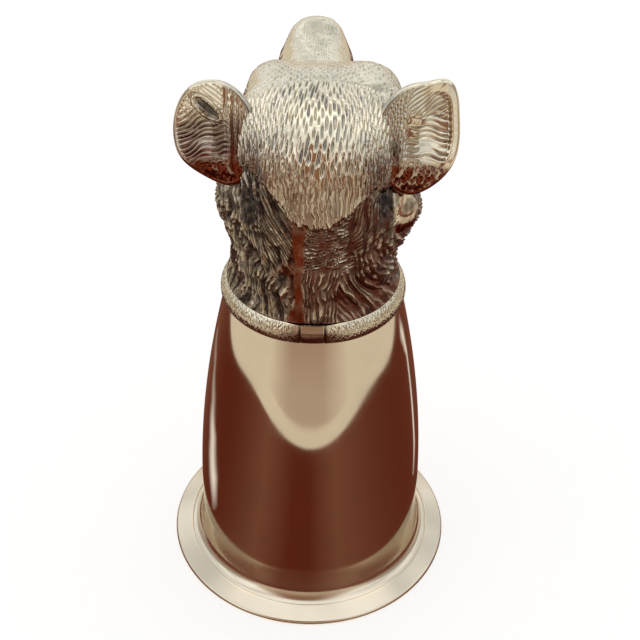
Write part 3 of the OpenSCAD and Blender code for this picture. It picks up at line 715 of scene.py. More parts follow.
def head_half(side, head):
    """One half of the head: rays to the field less the carving, closed at x = 0, at its base and its nose."""
    start, aim, along, turn = head_rays()
    reach = head_reach(start, aim)
    p = start + reach[..., None] * aim
    p[..., 0] *= side
    step = np.linalg.norm(np.diff(p, axis=1), axis=-1)
    arc = side * np.concatenate([np.zeros((len(p), 1)), np.cumsum(step, axis=1)], axis=1)
    cut, tarnish_and_shade, soot_and_shade, painted_reflection = head_carving(p, along, turn, arc, side, head)
    aim = aim * np.array([side, 1.0, 1.0])
    p = uneven_sides(p - (cut + SHRINK)[..., None] * aim, side)
    p[:, 0, 0] = p[:, -1, 0] = 0
    p[..., 2] += SEAT_Z
    n, m = p.shape[:2]
    points = p.reshape(-1, 3)
    quads = grid_quads(n, m)
    i = np.arange(n - 1)
    flat = np.stack([i * m, i * m + m - 1, (i + 1) * m + m - 1, (i + 1) * m], -1)
    base = fan(m, flip=True)
    last = (n - 1) * m
    tip = np.array([[0, points[last:, 1].max(), points[last:, 2].mean()]])
    k = np.arange(m)
    nose = np.stack([last + k, last + (k + 1) % m, 0 * k + len(points)], -1)
    points = np.concatenate([points, tip])
    extra = {"tarnish_and_shade": np.append(tarnish_and_shade, 0.4), "soot_and_shade": np.append(soot_and_shade, 0), "painted_reflection": np.append(painted_reflection, 0)}
    return points, np.concatenate([quads, flat]), np.concatenate([base, nose[:, ::-1]]), extra


# The ears

# Directions that the right ear faces and leans in, and the middle of its edge's plane above the neck's seat
EAR_AIM, EAR_LEAN = np.array([0.42, -0.8, 0.4]), np.array([0.14, 0.38, 0.92])
EAR_CENTRE = np.array([24.7, -1.5, 41.0])
# Width outside its long axis and inside it, height, depth of the hollow and thickness
EAR_REACH, EAR_ROOT, EAR_H, EAR_BOWL, EAR_T = 9.8, 12.0, 26.0, 3.0, 2.2
# Shares of the way to the edge where the lobe and the root start to be set back, and how far they are
LOBE_START, LOBE_SET_BACK, ROOT_START, ROOT_SET_BACK = 0.2, 4.0, 0.4, 1.6
EAR_ROWS, EAR_SIDES = 100, 330


def ear_outline(side, turn):
    """The edge's share of a plain oval at an angle.

    The right ear has a full upper corner, the left ear a slack lower one.
    """
    degrees = np.degrees(turn)
    if side > 0:
        share = 0.95 + 0.24 * np.exp(-((degrees - 59) / 24) ** 2) + 0.05 * np.exp(-((degrees + 92) / 30) ** 2)
    else:
        share = 0.93 - 0.16 * np.exp(-((degrees + 58) / 42) ** 2)
    return 1 + (share - 1) * ease(-0.7, 0.1, np.cos(turn))


def ear_cuts(side, u, v):
    """Depth from 0 to 1 of the cuts in an ear's hollow and of its dark pit, at places across and along it.

    Broken ribs follow shallow curves across the middle, closer on the left ear. Fine slanted strokes lie
    above them and lumps below. On the left ear a lens-shaped hollow slants over the ribs.
    """
    wander = ripple(u * 0.8, v * 0.6, 11)
    bend = v + (-0.1 * u + 0.02 * u ** 2 if side > 0 else 0.15 * u + 0.03 * u ** 2) + 0.45 * wander
    pitch, fullness = (1.3, 0.5) if side > 0 else (1.05, 0.8)
    ribs = furrows(bend + 0.3 * ripple(u * 0.4, v * 1.5, 13), pitch)
    ribs = ribs * np.clip(fullness + 0.6 * ripple(u * 0.5, v * 2.0, 12), 0, 1)
    upper, lower = ease(4.0, 7.5, v), ease(-5.0, -7.5, v)
    slant = furrows(v * 0.75 - u * 0.65 + 0.3 * wander, 0.9) * (0.7 if side > 0 else 0.35)
    lumps = np.clip(0.45 + 0.5 * ripple(u * 1.9, v * 1.7, 14) + 0.35 * ripple(u * 4.4, v * 3.6, 17), 0, 1)
    ribs = ribs * (0.25 + 0.75 * ease(-4.0, 0.5, u)) if side > 0 else ribs
    cuts = ribs * (1 - upper) * (1 - lower) + slant * upper + lumps * lower
    rough, _ = network(u + 0.5 * wander, v, 0.7, 1.9, 19)
    lines = furrows(u + 0.12 * v + 0.4 * wander, 1.5)
    root = ease(-3.0, -6.5, u) * (1 - lower)
    rough = crest(rough, 0.2)
    root_cuts = 0.7 * rough if side > 0 else np.maximum(lines, 0.5 * rough)
    cuts = cuts * (1 - root) + root * root_cuts
    pit = np.exp(-((u + 6.8) / 2.2) ** 2 - ((v + 4.2) / 3.4) ** 2)
    if side < 0:
        a, b = (u + 0.2) * -0.74 + (v - 6.0) * -0.67, (u + 0.2) * 0.67 - (v - 6.0) * 0.74
        lens = np.sqrt(np.clip(1 - (a / 3.8) ** 2 - (b / 1.2) ** 2, 0, 1))
        around = furrows(np.hypot(0.8 * a, 1.7 * b), 1.25) * ease(5.4, 3.6, np.hypot(0.8 * a, 1.7 * b))
        cuts = np.maximum(cuts * (1 - around), np.maximum(lens, 0.8 * around))
        pit = np.maximum(pit, np.maximum(lens, 0.15 * around))
    return np.clip(cuts, 0, 1), pit


def set_back(share, start):
    """Share from 0 to 1 by which a side is set back: the square of its way beyond a start."""
    return (np.clip(share - start, 0, 1) / (1 - start)) ** 2


def ear_axes():
    """Directions across the right ear, along it and out of its hollow."""
    facing = EAR_AIM / np.linalg.norm(EAR_AIM)
    sideways = np.cross(EAR_LEAN, facing)
    sideways /= np.linalg.norm(sideways)
    return sideways, np.cross(facing, sideways), facing


def ear_surface(side, head):
    """An ear: an oval bowl of rings from the middle of its hollow, over a rolled edge and down its back.

    A ring at a share s of the way to the edge lies at the bowl's depth times (1 - s squared). The hollow
    runs out towards the lobe and the root, which are set back by squares. It is cut inside its outer
    border, which is flatter on the right ear, as the upper part is on the left. The back has hair.
    """
    sideways, long, facing = ear_axes()
    turn = np.linspace(-np.pi, np.pi, EAR_SIDES, endpoint=False)
    share = np.linspace(0, 1, EAR_ROWS)[1:]
    edge = np.linspace(0, np.pi, 12)[1:-1]
    s = np.concatenate([share, np.ones(len(edge)), share[::-1]])[:, None]
    behind = np.concatenate([0 * share, EAR_T / 2 * (1 - np.cos(edge)), 0 * share + EAR_T])[:, None]
    outside = np.concatenate([0 * share, EAR_T / 2 * np.sin(edge), 0 * share])[:, None]
    front = np.concatenate([0 * share + 1, 0 * edge, 0 * share])[:, None]
    full = ear_outline(side, turn)[None]
    reach = np.where(np.cos(turn) < 0, EAR_ROOT, EAR_REACH)
    u = np.cos(turn) * (s * full * (reach - EAR_T / 2) + outside)
    v = np.sin(turn) * (s * full * (EAR_H - EAR_T) / 2 + outside)

    cuts, pit = ear_cuts(side, u, v)
    outer = ease(-4.0, 2.0, u) * ease(-7.5, -4.5, v)
    rim = 0.82 if side > 0 else 0.95
    inside = (ease(rim + 0.05, rim - 0.01, s) * outer + (1 - outer)) * front
    lobe = ease(-4.0 if side > 0 else -2.0, -8.5, v + 1.2 * ripple(u * 0.9, v * 0.5, 16))
    sunk = inside * (0.05 * outer + head.rib_depth / MM * cuts) + 0.7 * front * pit
    fur = strokes(u + 20, v + 0.2 * u, 1.2, 4.0, 15, 0.28) * ease(0.98, 0.9, s) * (behind > EAR_T * 0.99)
    down, inwards = np.clip(-np.sin(turn), 0, 1), np.clip(-np.cos(turn), 0, 1)
    border = (outer * ease(0.78, 0.88, s) * ease(0.1, 0.5, np.cos(turn))) if side > 0 else 0 * outer
    flat = 0.8 * border if side > 0 else 0.8 * ease(1.0, 7.0, v)
    hollow = EAR_BOWL * (1 - s ** 2) * (1 - s * down) * (1 - s * inwards) * (1 - flat)
    hollow = hollow + LOBE_SET_BACK * set_back(s * down, LOBE_START)
    hollow = hollow + ROOT_SET_BACK * set_back(s * inwards, ROOT_START)
    depth = hollow + behind + sunk - 0.35 * fur
    p = EAR_CENTRE + u[..., None] * sideways + v[..., None] * long - depth[..., None] * facing
    p = p * np.array([side, 1, 1]) + np.array([0, 0, SEAT_Z])
    rows = len(s)
    middle = EAR_CENTRE - np.array([depth[0].mean(), EAR_BOWL + EAR_T])[:, None] * facing
    middle = middle * np.array([side, 1, 1]) + np.array([0, 0, SEAT_Z])
    points = np.concatenate([p.reshape(-1, 3), middle])
    k = np.arange(EAR_SIDES)
    first = np.stack([0 * k + rows * EAR_SIDES, (k + 1) % EAR_SIDES, k], -1)
    last = (rows - 1) * EAR_SIDES
    final = np.stack([0 * k + rows * EAR_SIDES + 1, last + k, last + (k + 1) % EAR_SIDES], -1)
    # On the left ear, painted shade that deepens towards the bottom and darkens and browns the hollow's cuts
    # and the edge there.
    dark = ease(6.0, 0.0, v)
    dull_and_shade = 0.12 if side > 0 else 0.05 + 0.45 * dark
    # Painted brown reflection of the table, stronger towards the bottom of each ear.
    brown = ease(3.0, -5.0, v) * 0.35 if side > 0 else dark * 0.7
    near = (behind < EAR_T * 0.8) * 1.0
    edge_on = near * (1 - front)
    rooted = ease(0.2, 0.75, inwards)
    deep = 0.55 if side > 0 else 0.25 + 0.45 * dark
    edge_dull_and_shade = 0 if side > 0 else 0.1 + 0.4 * dark
    tarnish_and_shade = deep * inside * cuts + (0.6 * fur + 0.25) * (1 - near) + dull_and_shade * inside
    tarnish_and_shade = tarnish_and_shade + edge_on * (0.45 * rooted + edge_dull_and_shade)
    soot_and_shade = 0.8 * pit * front + 0.6 * deep * inside * cuts ** 2 + 0.15 * edge_on * rooted
    ridge_brown = 0.25 if side > 0 else 0.5
    # Painted brown reflection on the turned-down lobes, low in the hollows and on the edge.
    painted_reflection = near * lobe * (0.35 + 0.6 * cuts) + brown * (ridge_brown + (1 - ridge_brown) * cuts) * inside
    painted_reflection = painted_reflection + edge_on * (0.9 * lobe if side > 0 else 0.65 * dark)
    tarnish_and_shade, soot_and_shade, painted_reflection = (np.clip(t, 0, 1) for t in (tarnish_and_shade, soot_and_shade, painted_reflection))
    values = {"tarnish_and_shade": tarnish_and_shade, "soot_and_shade": soot_and_shade, "painted_reflection": painted_reflection}
    extra = {key: np.append(value, [value[0].mean(), 0]) for key, value in values.items()}
    quads = grid_quads(rows, EAR_SIDES, close_columns=True)[:, ::-1]
    return points, quads, np.concatenate([first[:, ::-1], final[:, ::-1]]), extra


# The collar

# Radius of the face, height of its widest place above the flat bottom, and width of the gap at the back
COLLAR_R, COLLAR_SWELL, COLLAR_GAP = 3.8, 1.4, 5.8
WALL_BORE, NECK_BORE = 21.87, 21.0
# The tab's thickness, its height above the neck's seat and that of its sloping face
TAB_T, TAB_RISE, TAB_SLOPE = 0.7, 3.0, 1.7
COLLAR_STEPS = 1300
# Half the tab's width, and the share of the collar's section where its ends turn from upright to sloping
TAB_HALF, END_TURN = 2.86, 0.62


def collar_surface(head):
    """A half-round band carried round the joint from one side of the gap at the back to the other.

    Its face is an arc about a line inside the wall, cut flat below. Towards its ends the arc turns into the
    tab's upright face and slope, by shares that sum to one. Fine cuts across the face follow each other
    round the band.
    """
    centre = np.array([COLLAR_OUT - COLLAR_R, COLLAR_BOTTOM + COLLAR_SWELL])
    low, high = -math.asin(COLLAR_SWELL / COLLAR_R), math.acos((NECK_BORE - centre[0]) / COLLAR_R)
    t = np.linspace(0, 1, 30)
    face_turn = low + (high - low) * t
    round_face = centre + COLLAR_R * np.stack([np.cos(face_turn), np.sin(face_turn)], -1)
    out, top = WALL_BORE + TAB_T, SEAT_Z + TAB_RISE - 0.1
    rise = ease(0.0, 1.0, np.clip((t - END_TURN) / (1 - END_TURN), 0, 1))
    plate_r = out - 0.75 * rise - 0.36 * np.clip(1 - t / END_TURN, 0, 1)
    upright_h = top - TAB_SLOPE - COLLAR_BOTTOM
    plate_z = COLLAR_BOTTOM + upright_h * np.clip(t / END_TURN, 0, 1) + TAB_SLOPE * rise
    plate = np.stack([plate_r, plate_z], -1)
    back = np.array([[NECK_BORE, SEAT_Z], [WALL_BORE, SEAT_Z], [WALL_BORE, COLLAR_BOTTOM]])
    gap = math.asin(COLLAR_GAP / 2 / (WALL_BORE + TAB_T))
    turn = np.linspace(gap, 2 * np.pi - gap, COLLAR_STEPS)[:, None]
    length = COLLAR_OUT * turn
    from_end = COLLAR_OUT * np.minimum(turn - gap, 2 * np.pi - gap - turn)
    whole = ease(-1.5, 6.5, from_end)
    r = np.concatenate([plate[:, 0] + (round_face - plate)[:, 0] * whole, back[:, 0] + 0 * whole], 1)
    z = np.concatenate([plate[:, 1] + (round_face - plate)[:, 1] * whole, back[:, 1] + 0 * whole], 1)
    on_face = (np.arange(r.shape[1]) < len(t)) * 1.0
    height = COLLAR_R * (high - low)
    up = np.concatenate([height * t, np.zeros(len(back))])
    slanted = length + 0.3 * up + 0.3 * ripple(length * 0.7, up, 31)
    coarse, luck = network(slanted, up + 1.3, 0.85, 2.6, 33)
    fine, _ = network(slanted + 0.2, up, 0.5, 1.2, 35)
    hatch = 0.7 * crest(coarse, 0.12) * (0.4 + 0.6 * luck) + 0.5 * crest(fine, 0.09)
    hatch = np.clip(hatch, 0, 1) * on_face * ease(0, 0.5, up)
    hatch = hatch * ease(0.0, 0.6, height - up) * ease(0, 2.5, from_end)
    inward = np.concatenate([np.stack([np.cos(face_turn), np.sin(face_turn)], -1), np.zeros((len(back), 2))])
    cut = head.hatch_depth / MM * hatch
    r, z = r - cut * inward[:, 0], z - cut * inward[:, 1]
    points = np.stack([r * np.sin(turn), -r * np.cos(turn), z], -1).reshape(-1, 3)
    n, m = r.shape
    ends = np.concatenate([fan(m), fan(m, (n - 1) * m, flip=True)])
    closing = ease(7.0, 0.0, from_end)
    # Painted shade and brown reflection on the lower part of the band's face, which faces down, stronger
    # towards its ends.
    painted_shade_below = ease(2.6 + 2.2 * closing, 0.8 + 1.4 * closing, up) * (0.5 + 0.5 * closing) * on_face
    end = ease(0.7, 0.1, from_end) + 0 * up
    extra = {
        "tarnish_and_shade": np.clip(0.3 * hatch, 0, 1),
        "soot_and_shade": np.clip(0.16 * hatch + 0.6 * painted_shade_below + 0.8 * end, 0, 1),
        "painted_reflection": 0.6 * painted_shade_below,
    }
    return points, grid_quads(n, m, close_columns=True), ends, extra


def tab_surface():
    """The tab in the collar's gap: an upright face under a sloping one along a short arc, with slim ends."""
    bore, out = WALL_BORE, WALL_BORE + TAB_T
    low, top = COLLAR_BOTTOM, SEAT_Z + TAB_RISE
    section = np.array([
        [bore, low], [out - 0.42, low], [out - 0.34, low + 0.1], [out - 0.2, low + 1.2],
        [out, top - TAB_SLOPE - 0.1], [out - 0.04, top - TAB_SLOPE],
        [out - 0.55, top - 0.15], [out - 0.62, top], [bore, top],
    ])
    half = math.asin(TAB_HALF / out)
    t = np.linspace(-1, 1, 41)[:, None]
    turn = half * t
    slim = np.sqrt(np.clip(1 - np.abs(t) ** 40, 0.05, 1))
    r = bore + (section[:, 0] - bore) * slim
    z = section[:, 1] + 0 * t
    points = np.stack([r * np.sin(turn), -r * np.cos(turn), z], -1).reshape(-1, 3)
    n, m = len(t), len(section)
    ends = np.concatenate([fan(m), fan(m, (n - 1) * m, flip=True)])
    # Painted shade and brown reflection on the upright face under the slope.
    under = (section[:, 1] < top - TAB_SLOPE) * 1.0 + 0 * t
    values = {"tarnish_and_shade": 0.25 + 0 * under, "soot_and_shade": 0.55 * under, "painted_reflection": 0.65 * under}
    return points, grid_quads(n, m, close_columns=True), ends, values


# Materials


def new_group(name, inputs, outputs):
    """An empty shader node group with named sockets, and its two end nodes."""
    group = bpy.data.node_groups.new(name, "ShaderNodeTree")
    for label, kind, value in inputs:
        socket = group.interface.new_socket(name=label, in_out="INPUT", socket_type=kind)
        if value is not None:
            socket.default_value = value
    for label, kind in outputs:
        group.interface.new_socket(name=label, in_out="OUTPUT", socket_type=kind)
    return group, group.nodes.new("NodeGroupInput"), group.nodes.new("NodeGroupOutput")


def noise_node(tree, vector, scale, detail=4.0):
    """A noise texture of a scale on a vector."""
    node = tree.nodes.new("ShaderNodeTexNoise")
    node.inputs["Scale"].default_value = scale
    node.inputs["Detail"].default_value = detail
    tree.links.new(vector, node.inputs["Vector"])
    return node


def spread(tree, value, low, high, out_low, out_high):
    """A value carried from one range to another and held at its ends."""
    node = tree.nodes.new("ShaderNodeMapRange")
    node.inputs["From Min"].default_value, node.inputs["From Max"].default_value = low, high
    node.inputs["To Min"].default_value, node.inputs["To Max"].default_value = out_low, out_high
    tree.links.new(value, node.inputs["Value"])
    return node.outputs["Result"]


def mixed(tree, factor, a, b):
    """Two colours mixed by a factor; each is a socket or a plain colour."""
    node = tree.nodes.new("ShaderNodeMix")
    node.data_type = "RGBA"
    for value, socket in ((factor, node.inputs[0]), (a, node.inputs[6]), (b, node.inputs[7])):
        if isinstance(value, bpy.types.NodeSocket):
            tree.links.new(value, socket)
        else:
            socket.default_value = value
    return node.outputs[2]


def handling_group():
    """Marks of handling: clouds of haze and fine scratches, as roughness, a stain and a height."""
    group, start, end = new_group(
        "Handling marks",
        (("Vector", "NodeSocketVector", None),
         ("Roughness", "NodeSocketFloat", 0.1),
         ("Haze", "NodeSocketFloat", 0.05)),
        (("Roughness", "NodeSocketFloat"), ("Stain", "NodeSocketFloat"), ("Height", "NodeSocketFloat")))
    clouds = noise_node(group, start.outputs["Vector"], 70.0, 3.0)
    stretch = group.nodes.new("ShaderNodeMapping")
    stretch.inputs["Rotation"].default_value = (0.4, 0.9, 0.3)
    stretch.inputs["Scale"].default_value = (2600.0, 160.0, 160.0)
    group.links.new(start.outputs["Vector"], stretch.inputs["Vector"])
    lines = noise_node(group, stretch.outputs["Vector"], 1.0, 2.0)
    haze = spread(group, clouds.outputs["Fac"], 0.35, 0.7, 0.0, 1.0)
    scratch = spread(group, lines.outputs["Fac"], 0.62, 0.75, 0.0, 1.0)
    total = group.nodes.new("ShaderNodeMath")
    total.operation = "MULTIPLY_ADD"
    group.links.new(haze, total.inputs[0])
    group.links.new(start.outputs["Haze"], total.inputs[1])
    group.links.new(start.outputs["Roughness"], total.inputs[2])
    group.links.new(total.outputs[0], end.inputs["Roughness"])
    group.links.new(haze, end.inputs["Stain"])
    group.links.new(scratch, end.inputs["Height"])
    return group


def oxide_group():
    """Darkened metal: oxide in the cuts, blackening in the hollows and painted shade, and a painted red-brown
    reflection, each mottled by noise.
    """
    group, start, end = new_group(
        "Oxide in the cuts",
        (("Vector", "NodeSocketVector", None),
         ("Tarnish_and_shade", "NodeSocketFloat", 0.0),
         ("Soot_and_shade", "NodeSocketFloat", 0.0),
         ("Painted_reflection", "NodeSocketFloat", 0.0),
         ("Metal", "NodeSocketColor", (0.8, 0.7, 0.55, 1)),
         ("Oxide colour", "NodeSocketColor", (0.25, 0.27, 0.3, 1)),
         ("Soot colour", "NodeSocketColor", (0.03, 0.03, 0.03, 1)),
         ("Patina colour", "NodeSocketColor", (0.3, 0.1, 0.05, 1))),
        (("Color", "NodeSocketColor"), ("Dark", "NodeSocketFloat"), ("Height", "NodeSocketFloat")))
    patches = noise_node(group, start.outputs["Vector"], 260.0, 4.0)
    specks = noise_node(group, start.outputs["Vector"], 800.0, 3.0)
    grains = noise_node(group, start.outputs["Vector"], 1000.0, 3.0)
    colour = start.outputs["Metal"]
    stains = (
        ("Tarnish_and_shade", "Oxide colour", patches, 0.7, 1.2),
        ("Soot_and_shade", "Soot colour", specks, 0.85, 1.1),
        ("Painted_reflection", "Patina colour", patches, 0.9, 1.15),
    )
    for label, tint, noise, low, high in stains:
        uneven = group.nodes.new("ShaderNodeMath")
        uneven.operation, uneven.use_clamp = "MULTIPLY", True
        group.links.new(start.outputs[label], uneven.inputs[0])
        group.links.new(spread(group, noise.outputs["Fac"], 0.32, 0.68, low, high), uneven.inputs[1])
        colour = mixed(group, uneven.outputs[0], colour, start.outputs[tint])
    group.links.new(colour, end.inputs["Color"])
    group.links.new(start.outputs["Soot_and_shade"], end.inputs["Dark"])
    group.links.new(grains.outputs["Fac"], end.inputs["Height"])
    return group


def group_of(name, make):
    """The node group of a name, made the first time that it is asked for."""
    return bpy.data.node_groups.get(name) or make()


def new_metal(name):
    """A material with a metallic shader and the object's own coordinates, ready for its groups."""
    material = bpy.data.materials.new(name)
    material.use_nodes = True
    tree = material.node_tree
    shader = tree.nodes["Principled BSDF"]
    shader.inputs["Metallic"].default_value = 1.0
    place = tree.nodes.new("ShaderNodeTexCoord").outputs["Object"]
    return material, tree, shader, place


def add_bump(tree, shader, height, strength, distance):
    """A bump of a height socket on the shader's normal."""
    node = tree.nodes.new("ShaderNodeBump")
    node.inputs["Strength"].default_value = strength
    node.inputs["Distance"].default_value = distance
    tree.links.new(height, node.inputs["Height"])
    tree.links.new(node.outputs["Normal"], shader.inputs["Normal"])


def polished_metal(name, colour, roughness, haze):
    """Polished silver: warm metal with hazy clouds that stain it, fine scratches and a more satin foot."""
    if name in bpy.data.materials:
        return bpy.data.materials[name]
    material, tree, shader, place = new_metal(name)
    marks = tree.nodes.new("ShaderNodeGroup")
    marks.node_tree = group_of("Handling marks", handling_group)
    marks.inputs["Roughness"].default_value = roughness
    marks.inputs["Haze"].default_value = haze
    tree.links.new(place, marks.inputs["Vector"])
    height = tree.nodes.new("ShaderNodeSeparateXYZ")
    tree.links.new(place, height.inputs[0])
    satin = tree.nodes.new("ShaderNodeMath")
    tree.links.new(marks.outputs["Roughness"], satin.inputs[0])
    tree.links.new(spread(tree, height.outputs["Z"], 0.003, 0.014, 0.12, 0.0), satin.inputs[1])
    tree.links.new(satin.outputs[0], shader.inputs["Roughness"])
    stain = tuple(0.93 * c for c in colour[:3]) + (1,)
    tree.links.new(mixed(tree, marks.outputs["Stain"], tuple(colour), stain), shader.inputs["Base Color"])
    add_bump(tree, shader, marks.outputs["Height"], 0.04, 0.00002)
    return material


def cast_metal(name, finish, roughness):
    """Cast silver: bright ridges, oxide, blackening with painted shade and a painted brown reflection from the
    piece's own values, and a fine grain.
    """
    if name in bpy.data.materials:
        return bpy.data.materials[name]
    material, tree, shader, place = new_metal(name)
    dark = tree.nodes.new("ShaderNodeGroup")
    dark.node_tree = group_of("Oxide in the cuts", oxide_group)
    for label, colour in (("Metal", finish.cast), ("Oxide colour", finish.oxide),
                          ("Soot colour", finish.soot_and_shade), ("Patina colour", finish.painted_reflection)):
        dark.inputs[label].default_value = tuple(colour)
    tree.links.new(place, dark.inputs["Vector"])
    for label in ("tarnish_and_shade", "soot_and_shade", "painted_reflection"):
        layer = tree.nodes.new("ShaderNodeAttribute")
        layer.attribute_name = label
        tree.links.new(layer.outputs["Fac"], dark.inputs[label.capitalize()])
    tree.links.new(dark.outputs["Color"], shader.inputs["Base Color"])
    duller = spread(tree, dark.outputs["Dark"], 0.0, 1.0, roughness, roughness + 0.2)
    tree.links.new(duller, shader.inputs["Roughness"])
    add_bump(tree, shader, dark.outputs["Height"], 0.12, 0.0003)
    return material


def glow(name, colour, strength=1.0):
    """A plain card that gives off its colour evenly."""
    material = bpy.data.materials.new(name)
    material.use_nodes = True
    tree = material.node_tree
    tree.nodes.clear()
    light = tree.nodes.new("ShaderNodeEmission")
    light.inputs["Color"].default_value = tuple(colour)
    light.inputs["Strength"].default_value = strength
    tree.links.new(light.outputs[0], tree.nodes.new("ShaderNodeOutputMaterial").inputs["Surface"])
    return material


# Operators


class PieceOperator:
    """What the piece operators share."""

    bl_options = {"REGISTER", "UNDO"}

    def settings(self, context):
        scene = context.scene
        return scene.stirrup_cup, scene.stirrup_head, scene.stirrup_finish


class STIRRUP_OT_cup(PieceOperator, bpy.types.Operator):
    """Builds the spun wall and the lip ring, and polishes them."""

    bl_idname = "stirrup.cup"
    bl_label = "Cup wall and lip ring"

    def execute(self, context):
        cup, _, finish = self.settings(context)
        shape = cup_shape(cup)
        metal = polished_metal("polished silver", finish.bright, 0.06, 0.05)
        pieces = (
            ("polished_wall", "cup_wall", wall_section(shape)),
            ("polished_lip", "lip_ring", lip_section(shape)),
        )
        for name, node, section in pieces:
            piece = put_mesh(name, *turned(section, CUP_SIDES), sharp=35)
            finish_piece(piece, [node], metal)
        return {"FINISHED"}


class STIRRUP_OT_head(PieceOperator, bpy.types.Operator):
    """Builds the two carved halves of the head."""

    bl_idname = "stirrup.head"
    bl_label = "Head halves"

    def execute(self, context):
        _, head, finish = self.settings(context)
        metal = cast_metal("cast silver", finish, 0.11)
        for side, name in SIDES:
            piece = put_mesh(f"carved_head_{name}", *head_half(side, head), sharp=75)
            finish_piece(piece, [f"head_{name}"], metal)
        return {"FINISHED"}


class STIRRUP_OT_ears(PieceOperator, bpy.types.Operator):
    """Builds the two hollow ears."""

    bl_idname = "stirrup.ears"
    bl_label = "Ears"

    def execute(self, context):
        _, head, finish = self.settings(context)
        metal = cast_metal("cast silver", finish, 0.11)
        for side, name in SIDES:
            piece = put_mesh(f"carved_ear_{name}", *ear_surface(side, head), sharp=75)
            finish_piece(piece, [f"ear_{name}"], metal)
        return {"FINISHED"}


class STIRRUP_OT_collar(PieceOperator, bpy.types.Operator):
    """Builds the hatched collar and the tab between its ends."""

    bl_idname = "stirrup.collar"
    bl_label = "Collar and tab"

    def execute(self, context):
        _, head, finish = self.settings(context)
        metal = cast_metal("collar silver", finish, 0.1)
        pieces = (
            ("hatched_band", "collar_band", collar_surface(head)),
            ("plain_tab", "collar_tab", tab_surface()),
        )
        for name, node, surface in pieces:
            piece = put_mesh(name, *surface, sharp=50)
            finish_piece(piece, [node], metal)
        return {"FINISHED"}


class STIRRUP_OT_inside(PieceOperator, bpy.types.Operator):
    """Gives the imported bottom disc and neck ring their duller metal."""

    bl_idname = "stirrup.inside"
    bl_label = "Bottom disc and neck ring"

    def execute(self, context):
        _, _, finish = self.settings(context)
        metal = polished_metal("inner silver", finish.bright, 0.24, 0.12)
        for name in ("cup_bottom", "neck_ring"):
            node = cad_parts[name]
            node.data.materials.clear()
            node.data.materials.append(metal)
        return {"FINISHED"}


# The stage

# Sizes in millimetres: half the floor's width, half the room's, and heights of the room's sides
FLOOR_HALF, ROOM_HALF, ROOM_SIDE_H, ROOM_FRONT_H = 4000, 900, 300, 700
CEILING_Z, PANEL_Z = 650, 640
# The camera: frame, focal length and shift in pixels, pitch and roll in degrees, and place in metres
FRAME_PX, FOCAL_PX, SHIFT_PX = 640, 1230, (7.4, 1.6)
CAMERA_PITCH, CAMERA_ROLL, CAMERA_PLACE = 37.97, 1.0, (0, -0.2447, 0.2631)
SENSOR_MM = 36.0
LAMP_AIM = (0, 0, 0.09)


def level(low_x, high_x, low_y, high_y, z):
    """Corners of a level rectangle."""
    return [(low_x, low_y, z), (high_x, low_y, z), (high_x, high_y, z), (low_x, high_y, z)]


def upright(low_x, high_x, y, low_z, high_z):
    """Corners of an upright rectangle that faces along Y."""
    return [(low_x, y, low_z), (high_x, y, low_z), (high_x, y, high_z), (low_x, y, high_z)]


def flat_card(name, points, material, reflected=True):
    """A flat card of corners in millimetres, that only reflections show if asked."""
    mesh = bpy.data.meshes.new(name)
    mesh.from_pydata((np.array(points, float) * MM).tolist(), [], [tuple(range(len(points)))])
    card = bpy.data.objects.new(name, mesh)
    mesh.materials.append(material)
    bpy.context.scene.collection.objects.link(card)
    if reflected:
        only_reflected(card)
    return card


def only_reflected(card):
    """Hides a card from everything but reflections."""
    card.visible_camera = card.visible_diffuse = card.visible_shadow = False
    card.visible_transmission = card.visible_volume_scatter = False


def table_outline(half_x, half_y, z):
    """Corners of a table top: |x / a| cubed plus |y / b| cubed is 1 in front, with straight sides behind."""
    a = np.linspace(-np.pi / 2, np.pi / 2, 61)
    x = half_x * np.sign(np.sin(a)) * np.abs(np.sin(a)) ** (2 / 3)
    y = -half_y * np.abs(np.cos(a)) ** (2 / 3)
    front = np.column_stack([x, y, np.full(61, z)])
    return np.concatenate([front, [[half_x, 500, z], [-half_x, 500, z]]])


def soft_card(name, points, quads, soft, material):
    """A card for reflections alone, whose value "soft" says where it glows."""
    card = put_mesh(name, points, quads, values={"soft": soft})
    card.data.materials.append(material)
    only_reflected(card)


def soft_ribbon(name, path, widths, fade, z, material):
    """A flat ribbon along a path on the floor, with a width at each point.

    Its value "soft" is 0 at the edges and has a given fade along the middle.
    """
    path, widths = np.array(path, float), np.array(widths, float)[:, None]
    run = np.gradient(path, axis=0)
    across = np.stack([-run[:, 1], run[:, 0]], -1) / np.linalg.norm(run, axis=1)[:, None]
    rows = [np.column_stack([path + k * across * widths, np.full(len(path), z)]) for k in (-0.5, 0, 0.5)]
    soft_card(name, np.concatenate(rows), grid_quads(3, len(path)), np.outer([0, 1, 0], fade), material)


